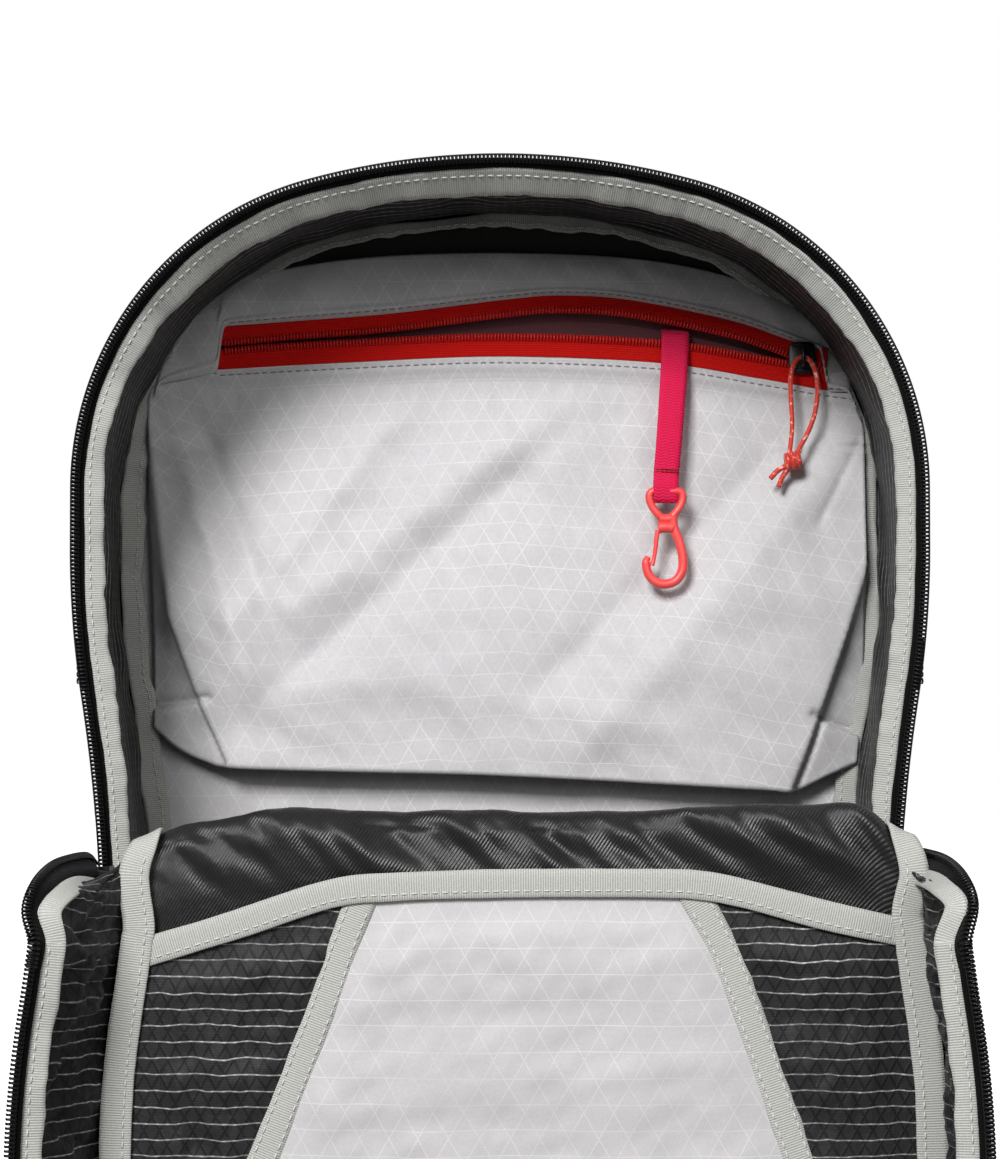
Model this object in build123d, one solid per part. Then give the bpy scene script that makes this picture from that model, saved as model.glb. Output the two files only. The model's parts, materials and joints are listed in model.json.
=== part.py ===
"""Ski backpack with an arched zip opening, shown with its opening panel folded down.

Frame: +Z up, origin on the flat base at mid-depth. -Y is the opening side, +Y is the wearer's side.
Everything is in millimetres.
"""

from build123d import *
from math import atan2, cos, degrees, radians, sin, sqrt, tan
import os

# ---------------------------------------------------------------- driving dimensions
HEIGHT = 520.0  # top of the arched opening above the base
HALF_WIDTH = 147.0  # widest half-width of the opening
SHOULDER_Z = 405.0  # height where the straight side meets the top corner arc
SHOULDER_R = 110.0  # radius of the top corner arcs
WAIST_Z = 385.0  # height where the side starts to narrow
WAIST_R = 330.0  # radius of the narrowing arc
WAIST_ANGLE = 9.0  # steepest lean of the side, from vertical
SIDE_LEAN = 3.4  # lean of the straight lower side, from vertical
SPLIT_Z = 279.0  # height where the open zipper splits
BASE_R = 40.0  # radius of the bottom corners

FRONT_Y = -84.0  # outer face of the lower front panel
RIM_Y = -30.0  # plane where the two zipper halves meet
BACK_Y = 84.0  # rear edge of the side and top panels
TAPE_REAR_Y = -18.0  # seam between the rim tape and the side panels
TAPE_FRONT_Y = -42.0  # seam between the front tape and the front gusset
FRONT_TAPER = 24.0  # lean of the front gusset towards the front panel, in degrees

FABRIC = 1.6  # coated face fabric with its seam
LINING = 1.2
BINDING = 1.2  # grosgrain binding
TAPE_INSET = (1.2, 2.2)  # zipper tape, measured in from the outline
COIL_INSET = (0.5, 3.0)  # zipper coil, measured in from the outline
COIL = 2.9  # depth of one half of the coil
COIL_GAP = 1.1  # rim plane to the near face of each coil

HINGE_Y = -88.5  # axis about which the opening panel folds down
HINGE_Z = 287.0
FLAP_START_Z = 298.0  # lower edge of the stiff part of the closed opening panel
FLAP_FACE_Y = -88.0  # outer face of the closed opening panel

POCKET_ZIP_Z = 465.5  # middle of the open pocket zipper
POCKET_ZIP_X = (-106.0, 121.0)
POCKET_ZIP_Y = 73.0  # front face of the pocket zipper tapes
POCKET_ZIP_TILT = 2.0  # the right-hand end sits lower, in degrees
POCKET_MOUTH = 5.4  # gap between the two coils
POCKET_TAPE = 7.6  # height of each tape
POCKET_BASE_Z = 303.0
LEASH_X = 62.0
LEASH_WIDTH = 10.0
HOOK_Y = 57.0
HOOK_BAR_Z = 409.0

STRAP_HINGE = (100.0, 470.0)  # y and z of the shoulder strap seam
WING_START = (100.0, 102.0)  # x and y where each hip wing leaves the lumbar pad
WING_Z = 110.0

nodes = {}


# ---------------------------------------------------------------- outline of the pack seen from the front
def arc(centre, radius, start, end):
    """An arc about centre from angle start to angle end, in degrees."""
    x, z = centre
    spots = [radians(start + (end - start) * part) for part in (0, 0.5, 1)]
    return ThreePointArc(*[(x + radius * cos(a), z + radius * sin(a)) for a in spots])


def half_outline():
    """The right half of the outline, from the base's middle to the top's middle."""
    lean, steep = radians(SIDE_LEAN), radians(WAIST_ANGLE)
    crown_drop = HEIGHT - SHOULDER_Z
    corner_x = HALF_WIDTH - SHOULDER_R
    crown_r = (corner_x**2 + crown_drop**2 - SHOULDER_R**2) / (2 * (crown_drop - SHOULDER_R))
    tilt = degrees(atan2(crown_r - crown_drop, corner_x))

    waist_centre = (HALF_WIDTH - WAIST_R, WAIST_Z)
    bend = (waist_centre[0] + WAIST_R * cos(steep), WAIST_Z - WAIST_R * sin(steep))
    flare_r = (bend[1] - SPLIT_Z) / (sin(steep) - sin(lean))
    flare_centre = (bend[0] + flare_r * cos(steep), bend[1] - flare_r * sin(steep))
    split_x = flare_centre[0] - flare_r * cos(lean)

    base_x = split_x + ((BASE_R - SPLIT_Z) * sin(lean) - BASE_R) / cos(lean)
    base_arc = arc((base_x, BASE_R), BASE_R, -90, -SIDE_LEAN)
    edges = [
        Line((0, 0), (base_x, 0)),
        base_arc,
        Line(base_arc @ 1, (split_x, SPLIT_Z)),
        arc(flare_centre, flare_r, 180 - SIDE_LEAN, 180 - WAIST_ANGLE),
        arc(waist_centre, WAIST_R, -WAIST_ANGLE, 0),
        Line((HALF_WIDTH, WAIST_Z), (HALF_WIDTH, SHOULDER_Z)),
        arc((corner_x, SHOULDER_Z), SHOULDER_R, 0, tilt),
        arc((0, HEIGHT - crown_r), crown_r, tilt, 90),
    ]
    return edges, split_x


RIGHT_EDGES, SPLIT_X = half_outline()
LEFT_EDGES = [mirror(edge, about=Plane.YZ) for edge in RIGHT_EDGES]
OUTLINE = make_face([*RIGHT_EDGES, *LEFT_EDGES])


def inset(amount):
    """The outline's face, drawn in by amount."""
    return OUTLINE if amount == 0 else offset(OUTLINE, -amount)


def ring(outer, inner):
    """The strip between two insets of the outline."""
    return inset(outer) - inset(inner)


# ---------------------------------------------------------------- building helpers
def slab(face, front_y, back_y):
    """A face drawn in X and Z, as a solid from front_y to back_y."""
    plane = Plane(origin=(0, back_y, 0), x_dir=(1, 0, 0), z_dir=(0, -1, 0))
    return extrude(plane * face, back_y - front_y)


def tapered(face, front_y, back_y, taper):
    """As slab, but drawn in by the taper angle towards the front."""
    plane = Plane(origin=(0, back_y, 0), x_dir=(1, 0, 0), z_dir=(0, -1, 0))
    return extrude(plane * face, back_y - front_y, taper=taper)


def block(x, y, z):
    """A box from three (low, high) pairs."""
    size = [pair[1] - pair[0] for pair in (x, y, z)]
    middle = [(pair[1] + pair[0]) / 2 for pair in (x, y, z)]
    return Pos(*middle) * Box(*size)


def between(shape, low_z, high_z, side=0):
    """The part of shape between two heights, on the right (+1), left (-1) or both sides."""
    reach = 400.0
    x = {0: (-reach, reach), 1: (0, reach), -1: (-reach, 0)}[side]
    return shape & block(x, (-reach, reach), (low_z, high_z))


def ribbon(points, width, thickness, across=(1, 0, 0), radius=6.0):
    """Webbing along points, with its width along across and its bends rounded."""
    path = FilletPolyline(*points, radius=radius) if len(points) > 2 else Line(*points)
    section = Plane(origin=path @ 0, x_dir=across, z_dir=path % 0) * Rectangle(width, thickness)
    return sweep(section, path=path)


def rod(start, end, radius):
    """A round bar from start to end."""
    path = Line(start, end)
    return sweep(Plane(origin=path @ 0, z_dir=path % 0) * Circle(radius), path=path)


def both(shape):
    """shape and its mirror image on the left, as one group."""
    return Compound([*shape.solids(), *mirror(shape, about=Plane.YZ).solids()])


def left_and_right(name, shape):
    """Stores a right-hand piece and its mirror image as two nodes."""
    nodes[name + "_right"] = shape
    nodes[name + "_left"] = mirror(shape, about=Plane.YZ)


def group(*shapes):
    """Separate solids in one node."""
    return Compound([solid for shape in shapes for solid in shape.solids()])


# ---------------------------------------------------------------- pack body
def body_panels():
    wall = slab(ring(0, FABRIC), TAPE_REAR_Y, BACK_Y)
    nodes["side_panel_left"] = between(wall, 50, SHOULDER_Z, -1)
    nodes["side_panel_right"] = between(wall, 50, SHOULDER_Z, 1)
    nodes["top_panel"] = between(wall, SHOULDER_Z, HEIGHT + 1)

    front_wall = tapered(OUTLINE, FRONT_Y, TAPE_FRONT_Y, FRONT_TAPER)
    front_hollow = tapered(inset(FABRIC), FRONT_Y, TAPE_FRONT_Y, FRONT_TAPER)
    front_gusset = front_wall - front_hollow
    nodes["lower_front_gusset"] = between(front_gusset, 50, FLAP_START_Z - 22)
    rear_base = between(slab(ring(0, FABRIC), TAPE_FRONT_Y, BACK_Y), 0, 50)
    nodes["base_panel"] = rear_base + between(front_gusset, 0, 50)

    front_draw_in = (TAPE_FRONT_Y - FRONT_Y) * tan(radians(FRONT_TAPER)) + FABRIC + 0.6
    front_plate = slab(inset(front_draw_in), FRONT_Y, FRONT_Y + FABRIC)
    nodes["lower_front_panel"] = between(front_plate, 0, FLAP_START_Z - 22)


def back_panel():
    """Lining, stiffener, two stays in grooves, foam, and the pads that touch the wearer."""
    lining_y, sheet_y, foam_y, pad_y = 80.0, 81.6, 84.3, 94.2
    nodes["back_lining"] = slab(inset(FABRIC + 0.4), lining_y, lining_y + LINING)
    nodes["frame_sheet"] = slab(inset(12), sheet_y, sheet_y + 1.6)
    stay_x, stay_size = 40.0, (12.0, 3.0)
    stays = [block((x - stay_size[0] / 2, x + stay_size[0] / 2), (foam_y + 0.3, foam_y + 3.3), (60, 440))
             for x in (-stay_x, stay_x)]
    nodes["frame_stays"] = group(*stays)
    foam = slab(OUTLINE, foam_y, pad_y - 0.2)
    for x in (-stay_x, stay_x):
        foam -= block((x - 6.4, x + 6.4), (foam_y - 1, foam_y + 3.7), (59.5, 440.5))
    nodes["back_foam"] = foam
    pads = [slab(Pos(x, 325) * RectangleRounded(72, 210, 24), pad_y, 105) for x in (-62, 62)]
    nodes["back_pads"] = group(*pads)
    nodes["lumbar_pad"] = slab(Pos(0, 112) * RectangleRounded(186, 104, 34), pad_y, 110)


def rim_zipper():
    """The body's half of the zipper, the closed front half below the split, and the two bindings."""
    coil = slab(ring(*COIL_INSET), RIM_Y + COIL_GAP, RIM_Y + COIL_GAP + COIL)
    tape = slab(ring(*TAPE_INSET), RIM_Y + COIL_GAP + COIL, TAPE_REAR_Y)
    nodes["rim_zipper"] = group(between(coil, 50, HEIGHT + 1), between(tape, 50, HEIGHT + 1))
    front_coil = slab(ring(*COIL_INSET), RIM_Y - COIL_GAP - COIL, RIM_Y - COIL_GAP)
    front_tape = slab(ring(*TAPE_INSET), TAPE_FRONT_Y, RIM_Y - COIL_GAP - COIL)
    nodes["lower_zipper"] = group(between(front_coil, 50, 262), between(front_tape, 50, 276))
    nodes["rim_binding"] = between(slab(ring(4, 13), -24.4, -24.4 + BINDING), 240, HEIGHT)
    nodes["rear_seam_binding"] = between(slab(ring(2.4, 12), 76, 76 + BINDING), 110, HEIGHT)


def fold_strip():
    """The soft roll of lining where the opening panel folds over."""
    roll = Pos(0, HINGE_Y, HINGE_Z) * Rot(0, 90, 0) * Cylinder(9, 236)
    roll -= Pos(0, HINGE_Y, HINGE_Z) * Rot(0, 90, 0) * Cylinder(7.6, 240)
    nodes["fold_strip"] = between(roll, HINGE_Z, HINGE_Z + 20)


# ---------------------------------------------------------------- opening panel
def opening_panel():
    """Built in its closed place, then folded down half a turn about the hinge."""
    closed = {}
    top = HEIGHT + 1
    wall = tapered(OUTLINE, FLAP_FACE_Y, TAPE_FRONT_Y, FRONT_TAPER)
    hollow = tapered(inset(FABRIC), FLAP_FACE_Y, TAPE_FRONT_Y, FRONT_TAPER)
    closed["flap_gusset"] = wall - hollow
    draw_in = (TAPE_FRONT_Y - FLAP_FACE_Y) * tan(radians(FRONT_TAPER)) + FABRIC + 0.6
    closed["flap_panel"] = slab(inset(draw_in), FLAP_FACE_Y, FLAP_FACE_Y + FABRIC)
    closed["flap_lining"] = slab(inset(draw_in), FLAP_FACE_Y + 2.6, FLAP_FACE_Y + 2.6 + LINING)
    coil = slab(ring(*COIL_INSET), RIM_Y - COIL_GAP - COIL, RIM_Y - COIL_GAP)
    tape = slab(ring(*TAPE_INSET), TAPE_FRONT_Y, RIM_Y - COIL_GAP - COIL)
    closed["flap_zipper"] = group(coil, tape)
    closed["flap_rim_binding"] = slab(ring(4, 13), -37, -37 + BINDING)
    closed["flap_seam_binding"] = slab(ring(draw_in - 1, draw_in + 8.5), -82.4, -82.4 + BINDING)

    # The sleeves lie flat on the lining, with the hem of each towards the fold.
    sleeve_y = (FLAP_FACE_Y + 2.6 + LINING, FLAP_FACE_Y + 2.6 + 2 * LINING)
    hem_y = (sleeve_y[1], sleeve_y[1] + BINDING)
    hem_side_z, hem_mid_z = 2 * HINGE_Z - 256, 2 * HINGE_Z - 275
    sleeve_field = inset(draw_in + 9)
    hem_line = [(-130, hem_side_z), (-52, hem_mid_z), (60, hem_mid_z), (130, hem_side_z)]
    above_hem = make_face(Polyline(*hem_line, (130, HEIGHT), (-130, HEIGHT), close=True))
    narrow_x, wide_x, wide_z = (-45, 66), (-84, 102), 420
    middle = make_face(Polyline((narrow_x[0], hem_mid_z - 5), (narrow_x[1], hem_mid_z - 5), (wide_x[1], wide_z),
                                (wide_x[1], HEIGHT), (wide_x[0], HEIGHT), (wide_x[0], wide_z), close=True))
    sleeves = sleeve_field & above_hem
    closed["flap_center_sleeve"] = slab(sleeves & middle, *sleeve_y)
    closed["flap_side_sleeves"] = slab(sleeves - middle, *sleeve_y)
    lowered = make_face(Polyline(*[(x, z + 8) for x, z in hem_line], (130, HEIGHT), (-130, HEIGHT), close=True))
    hem = slab((sleeve_field & above_hem) - lowered, *hem_y)
    stays = []
    for near, far, out in ((narrow_x[0], wide_x[0], -9), (narrow_x[1], wide_x[1], 9)):
        strip = make_face(Polyline((near, hem_mid_z + 8.2), (near + out, hem_mid_z + 8.2), (far + out, wide_z),
                                   (far, wide_z), close=True))
        stays.append(slab(strip & lowered, *hem_y))
    closed["flap_sleeve_bindings"] = group(hem, *stays)

    fold_axis = Axis((0, HINGE_Y, HINGE_Z), (1, 0, 0))
    for name, shape in closed.items():
        nodes[name] = between(shape, FLAP_START_Z, top).rotate(fold_axis, 180)


# ---------------------------------------------------------------- inside zip pocket
def along_zip(shape):
    """A shape built level with the pocket zipper, leaned to its slope."""
    middle_x = sum(POCKET_ZIP_X) / 2
    turn = Pos(middle_x, 0, POCKET_ZIP_Z) * Rot(0, POCKET_ZIP_TILT, 0) * Pos(-middle_x, 0, -POCKET_ZIP_Z)
    return turn * shape


def pocket_slider_spot():
    """x and z of the open slider's middle."""
    middle_x = sum(POCKET_ZIP_X) / 2
    along = POCKET_ZIP_X[1] - 6.5 - middle_x
    lean = radians(POCKET_ZIP_TILT)
    return middle_x + along * cos(lean), POCKET_ZIP_Z - along * sin(lean)


def zip_pocket():
    y = POCKET_ZIP_Y
    left, right = POCKET_ZIP_X
    low_edge, high_edge = POCKET_ZIP_Z - POCKET_MOUTH / 2, POCKET_ZIP_Z + POCKET_MOUTH / 2
    tapes = [block((left, right), (y, y + 1), (low_edge - POCKET_TAPE, low_edge - 0.4)),
             block((left, right), (y, y + 1), (high_edge + 0.4, high_edge + POCKET_TAPE))]
    coils = [block((left + 2, right - 2), (y - 1.8, y - 0.2), (low_edge - 2.4, low_edge)),
             block((left + 2, right - 2), (y - 1.8, y - 0.2), (high_edge, high_edge + 2.4))]
    nodes["pocket_zipper"] = along_zip(group(*tapes, *coils))

    strip = Pos(0, 480) * Rectangle(300, 43)
    below_tape = along_zip(block((-200, 200), (0, 200), (300, high_edge + POCKET_TAPE)))
    nodes["pocket_upper_panel"] = slab(inset(14) & strip, y + 1, y + 1 + LINING) - below_tape

    bag_x, top_z, skin = (-108.0, 118.0), low_edge - POCKET_TAPE + 8, LINING
    front = [(62, POCKET_BASE_Z), (60, POCKET_BASE_Z + 9), (61, 350), (66, 420), (y + 1, top_z - 12), (y + 1, top_z)]
    outer = side_profile([(79.8, POCKET_BASE_Z), *front, (79.8, top_z)], *bag_x)
    hollow_front = [(px + skin, pz) for px, pz in front[1:-1]]
    hollow = [(90, POCKET_BASE_Z + skin), (62.8, POCKET_BASE_Z + skin), *hollow_front, (y + 1 + skin, top_z + 1),
              (90, top_z + 1)]
    bag = outer - side_profile(hollow, bag_x[0] + skin, bag_x[1] - skin)
    above_tape_edge = along_zip(block((-200, 200), (0, 200), (low_edge - POCKET_TAPE, 600)))
    nodes["pocket_bag"] = bag - above_tape_edge


def side_profile(points, left, right):
    """A solid with an outline in Y and Z, from x = left to x = right."""
    plane = Plane(origin=(left, 0, 0), x_dir=(0, 1, 0), z_dir=(1, 0, 0))
    return extrude(plane * make_face(Polyline(*points, close=True)), right - left)


def pocket_slider():
    """A slider with a plate in front of and behind the coils, its eyelet, cord pull and knot."""
    x, z = pocket_slider_spot()
    y = POCKET_ZIP_Y
    front = block((-5, 5), (y - 3.6, y - 2.2), (-6, 6))
    rear = block((-5, 5), (y + 1.3, y + 2.7), (-6, 6))
    wedge = block((2, 5), (y - 2.2, y + 1.3), (-0.6, 0.6))
    eyelet = Pos(0, y - 5.4, 0) * Rot(0, 90, 0) * (Cylinder(4.3, 1.6) - Cylinder(3.1, 4))
    eyelet = eyelet & block((-5, 5), (y - 12, y - 3), (-9, 9))
    nodes["pocket_slider"] = Pos(x, 0, z) * Rot(0, POCKET_ZIP_TILT, 0) * (front + rear + wedge + eyelet)

    # The cord passes through the eyelet and both its legs hang to the knot.
    cord_r, knot = 0.9, (x - 4.5, y - 11.6, z - 40)
    right_leg = [(x + 2, y - 5.4, z), (x + 5, y - 8.4, z - 6), (x + 5.2, y - 10.6, z - 16),
                 (x + 2.4, y - 11.4, z - 28), (knot[0] + 1.3, knot[1], knot[2] + 3)]
    left_leg = [(x - 2, y - 5.4, z), (x - 5, y - 8.4, z - 6), (x - 5.2, y - 10.6, z - 16),
                (x - 4.4, y - 11.4, z - 28), (knot[0] - 1.3, knot[1], knot[2] + 3)]
    points = [*reversed(left_leg), *right_leg]
    run = [Vector(*points[i + 1]) - Vector(*points[i]) for i in range(len(points) - 1)]
    turns = [radians(run[i].get_angle(run[i + 1])) for i in range(len(run) - 1)]
    bends = [0.45 * min(run[i].length, run[i + 1].length) / tan(turns[i] / 2) for i in range(len(turns))]
    print("cord bend radii", [round(bend, 1) for bend in bends])
    nodes["pocket_pull_cord"] = tube(points, cord_r, bends)
    knot_body = Pos(*knot) * Rot(0, 60, 0) * capsule(3.0, 8.5)
    tail = rod((knot[0] - 2.4, knot[1], knot[2] - 1.6), (knot[0] - 9.5, knot[1], knot[2] - 6.4), 1.6)
    nodes["pocket_pull_knot"] = knot_body + tail


def capsule(radius, length):
    """A round-ended bar along Z, length over its ends."""
    straight = length - 2 * radius
    body = Cylinder(radius, straight)
    return body + Pos(0, 0, straight / 2) * Sphere(radius) + Pos(0, 0, -straight / 2) * Sphere(radius)


def tube(points, radius, bend):
    """A round bar along points, with rounded bends."""
    path = FilletPolyline(*points, radius=bend)
    return sweep(Plane(origin=path @ 0, z_dir=path % 0) * Circle(radius), path=path)


def key_leash():
    """Webbing that hangs out of the pocket, its moulded hook and the hook's springy gate."""
    x, y, z = LEASH_X, HOOK_Y, HOOK_BAR_Z
    mouth_z = POCKET_ZIP_Z - (x - sum(POCKET_ZIP_X) / 2) * sin(radians(POCKET_ZIP_TILT))
    eye_r, skin = 2.0, 1.1
    web = ribbon([(x, 72.5, mouth_z), (x, 66, mouth_z), (x, y, mouth_z - 10), (x, y, z + eye_r)], LEASH_WIDTH, skin,
                 radius=3.5)
    eye = Pos(x, y, z) * Rot(0, 90, 0) * (Cylinder(eye_r + skin, LEASH_WIDTH) - Cylinder(eye_r, LEASH_WIDTH + 2))
    nodes["key_leash"] = web + eye
    nodes["key_leash_anchor"] = block((x - LEASH_WIDTH / 2, x + LEASH_WIDTH / 2), (72.9, 79.8),
                                      (mouth_z - skin / 2, mouth_z + skin / 2))

    bar_r, half_bar = 1.3, 6.7
    neck_z, hook_z = z - 10.5, z - 28.5
    frame = tube([(x - 3.4, y, neck_z), (x - half_bar, y, z - 4), (x - half_bar, y, z), (x + half_bar, y, z),
                  (x + half_bar, y, z - 4), (x + 3.4, y, neck_z)], bar_r, [2.2, 1.6, 1.6, 2.2])
    frame += block((x - 4.6, x + 4.6), (y - bar_r, y + bar_r), (neck_z - 3.4, neck_z + 0.8))
    frame += tube([(x + 3.2, y, neck_z - 1), (x + 4.0, y, neck_z - 5), (x + 6.2, y, hook_z + 3),
                   (x + 4.6, y, hook_z - 4.5), (x - 5.6, y, hook_z - 4.5), (x - 7.6, y, hook_z + 3.5)], 1.5, 3.0)
    nodes["key_hook"] = frame
    gate_end = (x - 4.4, y, hook_z + 2.2)
    nodes["key_hook_gate"] = rod((x - 3.6, y, neck_z - 3.9), gate_end, 1.0) + Pos(*gate_end) * Sphere(1.0)


# ---------------------------------------------------------------- main sliders
def main_sliders():
    """Built upright with the outline at x = 0, then leaned to lie along the straight lower side."""
    long, half_y = 14.0, 4.8
    outer = block((1.2, 2.7), (-half_y, half_y), (-long / 2, long / 2))
    inner = block((-5.0, -3.5), (-half_y, half_y), (-long / 2, long / 2))
    wedge = block((-3.5, 1.2), (-0.6, 0.6), (long / 2 - 4, long / 2))
    bail = Pos(2.7, 0, 0) * Rot(90, 0, 0) * (Cylinder(4.4, 3) - Cylinder(3.0, 4))
    bail = bail & block((2.6, 8), (-4, 4), (-8, 8))
    slider = outer + inner + wedge + bail
    tab = block((3.7, 4.9), (-3.4, 3.4), (-36, -5)) + Pos(4.3, 0, 0) * Rot(90, 0, 0) * Cylinder(1.0, 6.8)
    arms = block((3.7, 4.9), (2.0, 3.4), (-6, 0)) + block((3.7, 4.9), (-3.4, -2.0), (-6, 0))
    middle_z = SPLIT_Z - 3 - long / 2
    middle_x = SPLIT_X - (SPLIT_Z - middle_z) * tan(radians(SIDE_LEAN))
    place = Pos(middle_x, RIM_Y, middle_z) * Rot(0, SIDE_LEAN, 0)
    left_and_right("main_slider", place * slider)
    left_and_right("main_pull", place * (tab + arms))


# ---------------------------------------------------------------- harness
def shoulder_straps():
    y, z = STRAP_HINGE
    path = [(42, y, z), (42, y + 18, z + 16), (42, y + 46, z + 8), (42, y + 62, z - 40), (42, y + 54, z - 140),
            (42, y + 30, z - 236)]
    web = ribbon(path, 240, 10, radius=16)
    inner = [(12, 500), (12, 452), (28, 370), (58, 290), (86, 228)]
    outer = [(124, 224), (112, 290), (88, 370), (74, 452), (74, 500)]
    shape = make_face([Spline(*inner), Line(inner[-1], outer[0]), Spline(*outer), Line(outer[-1], inner[0])])
    strap = web & slab(shape, 60, 200)
    left_and_right("shoulder_strap", strap)

    lock_y, lock_z = y + 29.3, z - 245
    lock = block((88, 122), (lock_y - 3, lock_y + 3), (lock_z - 9, lock_z + 8))
    for low, high in ((-6, -1.5), (1.5, 5)):
        lock -= block((91.5, 118.5), (lock_y - 4, lock_y + 4), (lock_z + low, lock_z + high))
    left_and_right("ladder_lock", lock)

    lower = ribbon([(105, lock_y - 1, lock_z - 9.6), (105, 106, lock_z - 40), (105, 95.4, lock_z - 58)], 24, 1.6,
                   radius=20)
    nodes["lower_straps"] = both(lower)


def sternum_strap():
    """Two halves with a buckle socket on the left and its plug on the right."""
    z, y = 386.0, 169.0
    nodes["sternum_web_right"] = block((18, 84), (y - 3.2, y - 1.6), (z - 9, z + 9))
    nodes["sternum_web_left"] = block((-84, -34), (y - 3.2, y - 1.6), (z - 9, z + 9))
    nodes["sternum_plug"] = plug_half(12, z, y)
    nodes["sternum_socket"] = socket_half(-12, z, y)


def plug_half(x, z, y, width=20.0):
    """The half of a buckle with three prongs, pointing to the left."""
    half = width / 2
    base = block((x - 2, x + 6), (y - 2.6, y + 2.4), (z - half, z + half))
    base -= block((x + 1.5, x + 3.8), (y - 4, y + 4), (z - half + 2.5, z + half - 2.5))
    prongs = [block((x - 13, x - 1.8), (y - 1.6, y + 1.4), (z + c - w, z + c + w))
              for c, w in ((0, 1.6), (half - 2.0, 1.4), (-half + 2.0, 1.4))]
    for prong in prongs:
        base += prong
    return base


def socket_half(x, z, y, width=20.0):
    """The half of a buckle that takes the prongs, open to the right."""
    half = width / 2 + 1
    body = block((x - 22, x), (y - 4, y + 3.8), (z - half, z + half))
    body -= block((x - 14, x + 1), (y - 2.2, y + 2.0), (z - half + 2.6, z + half - 2.6))
    body -= block((x - 20, x - 17), (y - 5, y + 5), (z - half + 3, z + half - 3))
    return body


def hip_belt():
    """Two preformed wings, their webbing hanging from the tips, and the buckle halves."""
    x0, y0 = WING_START
    bend_r, sweep_angle, thick = 92.0, 78.0, 13.0
    centre = (x0, y0 + bend_r)
    start, end = radians(-90), radians(-90 + sweep_angle)
    mid = (start + end) / 2
    path = ThreePointArc(*[(centre[0] + bend_r * cos(a), centre[1] + bend_r * sin(a), WING_Z)
                           for a in (start, mid, end)])
    section = Plane(origin=path @ 0, x_dir=(0, 0, 1), z_dir=path % 0) * RectangleRounded(88, thick, 5)
    wing = sweep(section, path=path)
    tip = path @ 1
    shape_view = Plane(origin=(0, 0, 0), x_dir=(0, 1, 0), z_dir=(1, 0, 0))
    taper_top = make_face(Polyline((y0 - 10, WING_Z - 50), (y0 - 10, WING_Z + 50), (tip.Y + 6, WING_Z + 24),
                                   (tip.Y + 6, WING_Z - 24), close=True))
    wing = wing & extrude(shape_view * taper_top, 400)
    left_and_right("hip_wing", wing)

    lean = radians(sweep_angle)
    along, outward = (cos(lean), sin(lean)), (sin(lean), -cos(lean))
    web_at = (tip.X + outward[0] * (thick / 2 + 1.2), tip.Y + outward[1] * (thick / 2 + 1.2))
    back = (web_at[0] - along[0] * 60, web_at[1] - along[1] * 60)
    front = (web_at[0] + along[0] * 16, web_at[1] + along[1] * 16)
    path = Line((back[0], back[1], WING_Z), (front[0], front[1], WING_Z))
    strap = sweep(Plane(origin=path @ 0, x_dir=(0, 0, 1), z_dir=path % 0) * Rectangle(24, 1.6), path=path)
    left_and_right("hip_webbing", strap)
    turn = Pos(front[0] + along[0] * 1, front[1] + along[1] * 1, WING_Z) * Rot(0, 0, sweep_angle)
    nodes["hip_plug"] = turn * (Pos(6.4, 0, 0) * Rot(0, 0, 180) * plug_half(0, 0, 0, 26.0))
    socket = Pos(22.6, 0, 0) * socket_half(0, 0, 0, 26.0)
    nodes["hip_socket"] = mirror(turn * socket, about=Plane.YZ)


def carry_loops():
    """The haul loop, the side compression straps with their buckles and the ski loops."""
    y = 104.5
    nodes["haul_loop"] = ribbon([(-26, y, 502), (-26, y, 530), (-16, y, 541), (16, y, 541), (26, y, 530),
                                 (26, y, 502)], 18, 2.8, across=(0, 1, 0), radius=6)
    straps, buckles = [], []
    for z in (100, 345):
        edge = side_x(z)
        lean = Pos(edge, 0, z) * Rot(0, side_lean(z), 0)
        straps.append(lean * block((0.4, 2.0), (-10, 80), (-9, 9)))
        buckle = block((2.2, 7.0), (46, 74), (-13, 13)) - block((1, 9), (50, 53), (-10, 10))
        buckles.append(lean * (buckle - block((1, 9), (67, 70), (-10, 10))))
    nodes["compression_straps"] = both(group(*straps))
    nodes["compression_buckles"] = both(group(*buckles))

    z = 62.0
    loop = ribbon([(0.9, 0, -16), (13, 0, -14), (18, 0, 0), (13, 0, 14), (0.9, 0, 16)], 20, 1.6,
                  across=(0, 1, 0), radius=5)
    nodes["ski_loops"] = both(Pos(side_x(z), 52, z) * Rot(0, side_lean(z), 0) * loop)


def side_x(z):
    """Half-width of the outline at height z, on its lower straight side or its waist."""
    if z < SPLIT_Z:
        return SPLIT_X - (SPLIT_Z - z) * tan(radians(SIDE_LEAN))
    return HALF_WIDTH - WAIST_R + sqrt(WAIST_R**2 - (WAIST_Z - z) ** 2)


def side_lean(z):
    """Lean of the side at height z, in degrees."""
    return SIDE_LEAN if z < SPLIT_Z else degrees(atan2(WAIST_Z - z, side_x(z) - HALF_WIDTH + WAIST_R))


body_panels()
back_panel()
rim_zipper()
fold_strip()
opening_panel()
zip_pocket()
pocket_slider()
key_leash()
main_sliders()
shoulder_straps()
sternum_strap()
hip_belt()
carry_loops()

os.makedirs("parts", exist_ok=True)
for name, shape in nodes.items():
    export_step(shape, f"parts/{name}.step")
print(len(nodes), "nodes")
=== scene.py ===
import json
from math import atan2, cos, degrees, hypot, pi, radians, sin, sqrt

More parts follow.
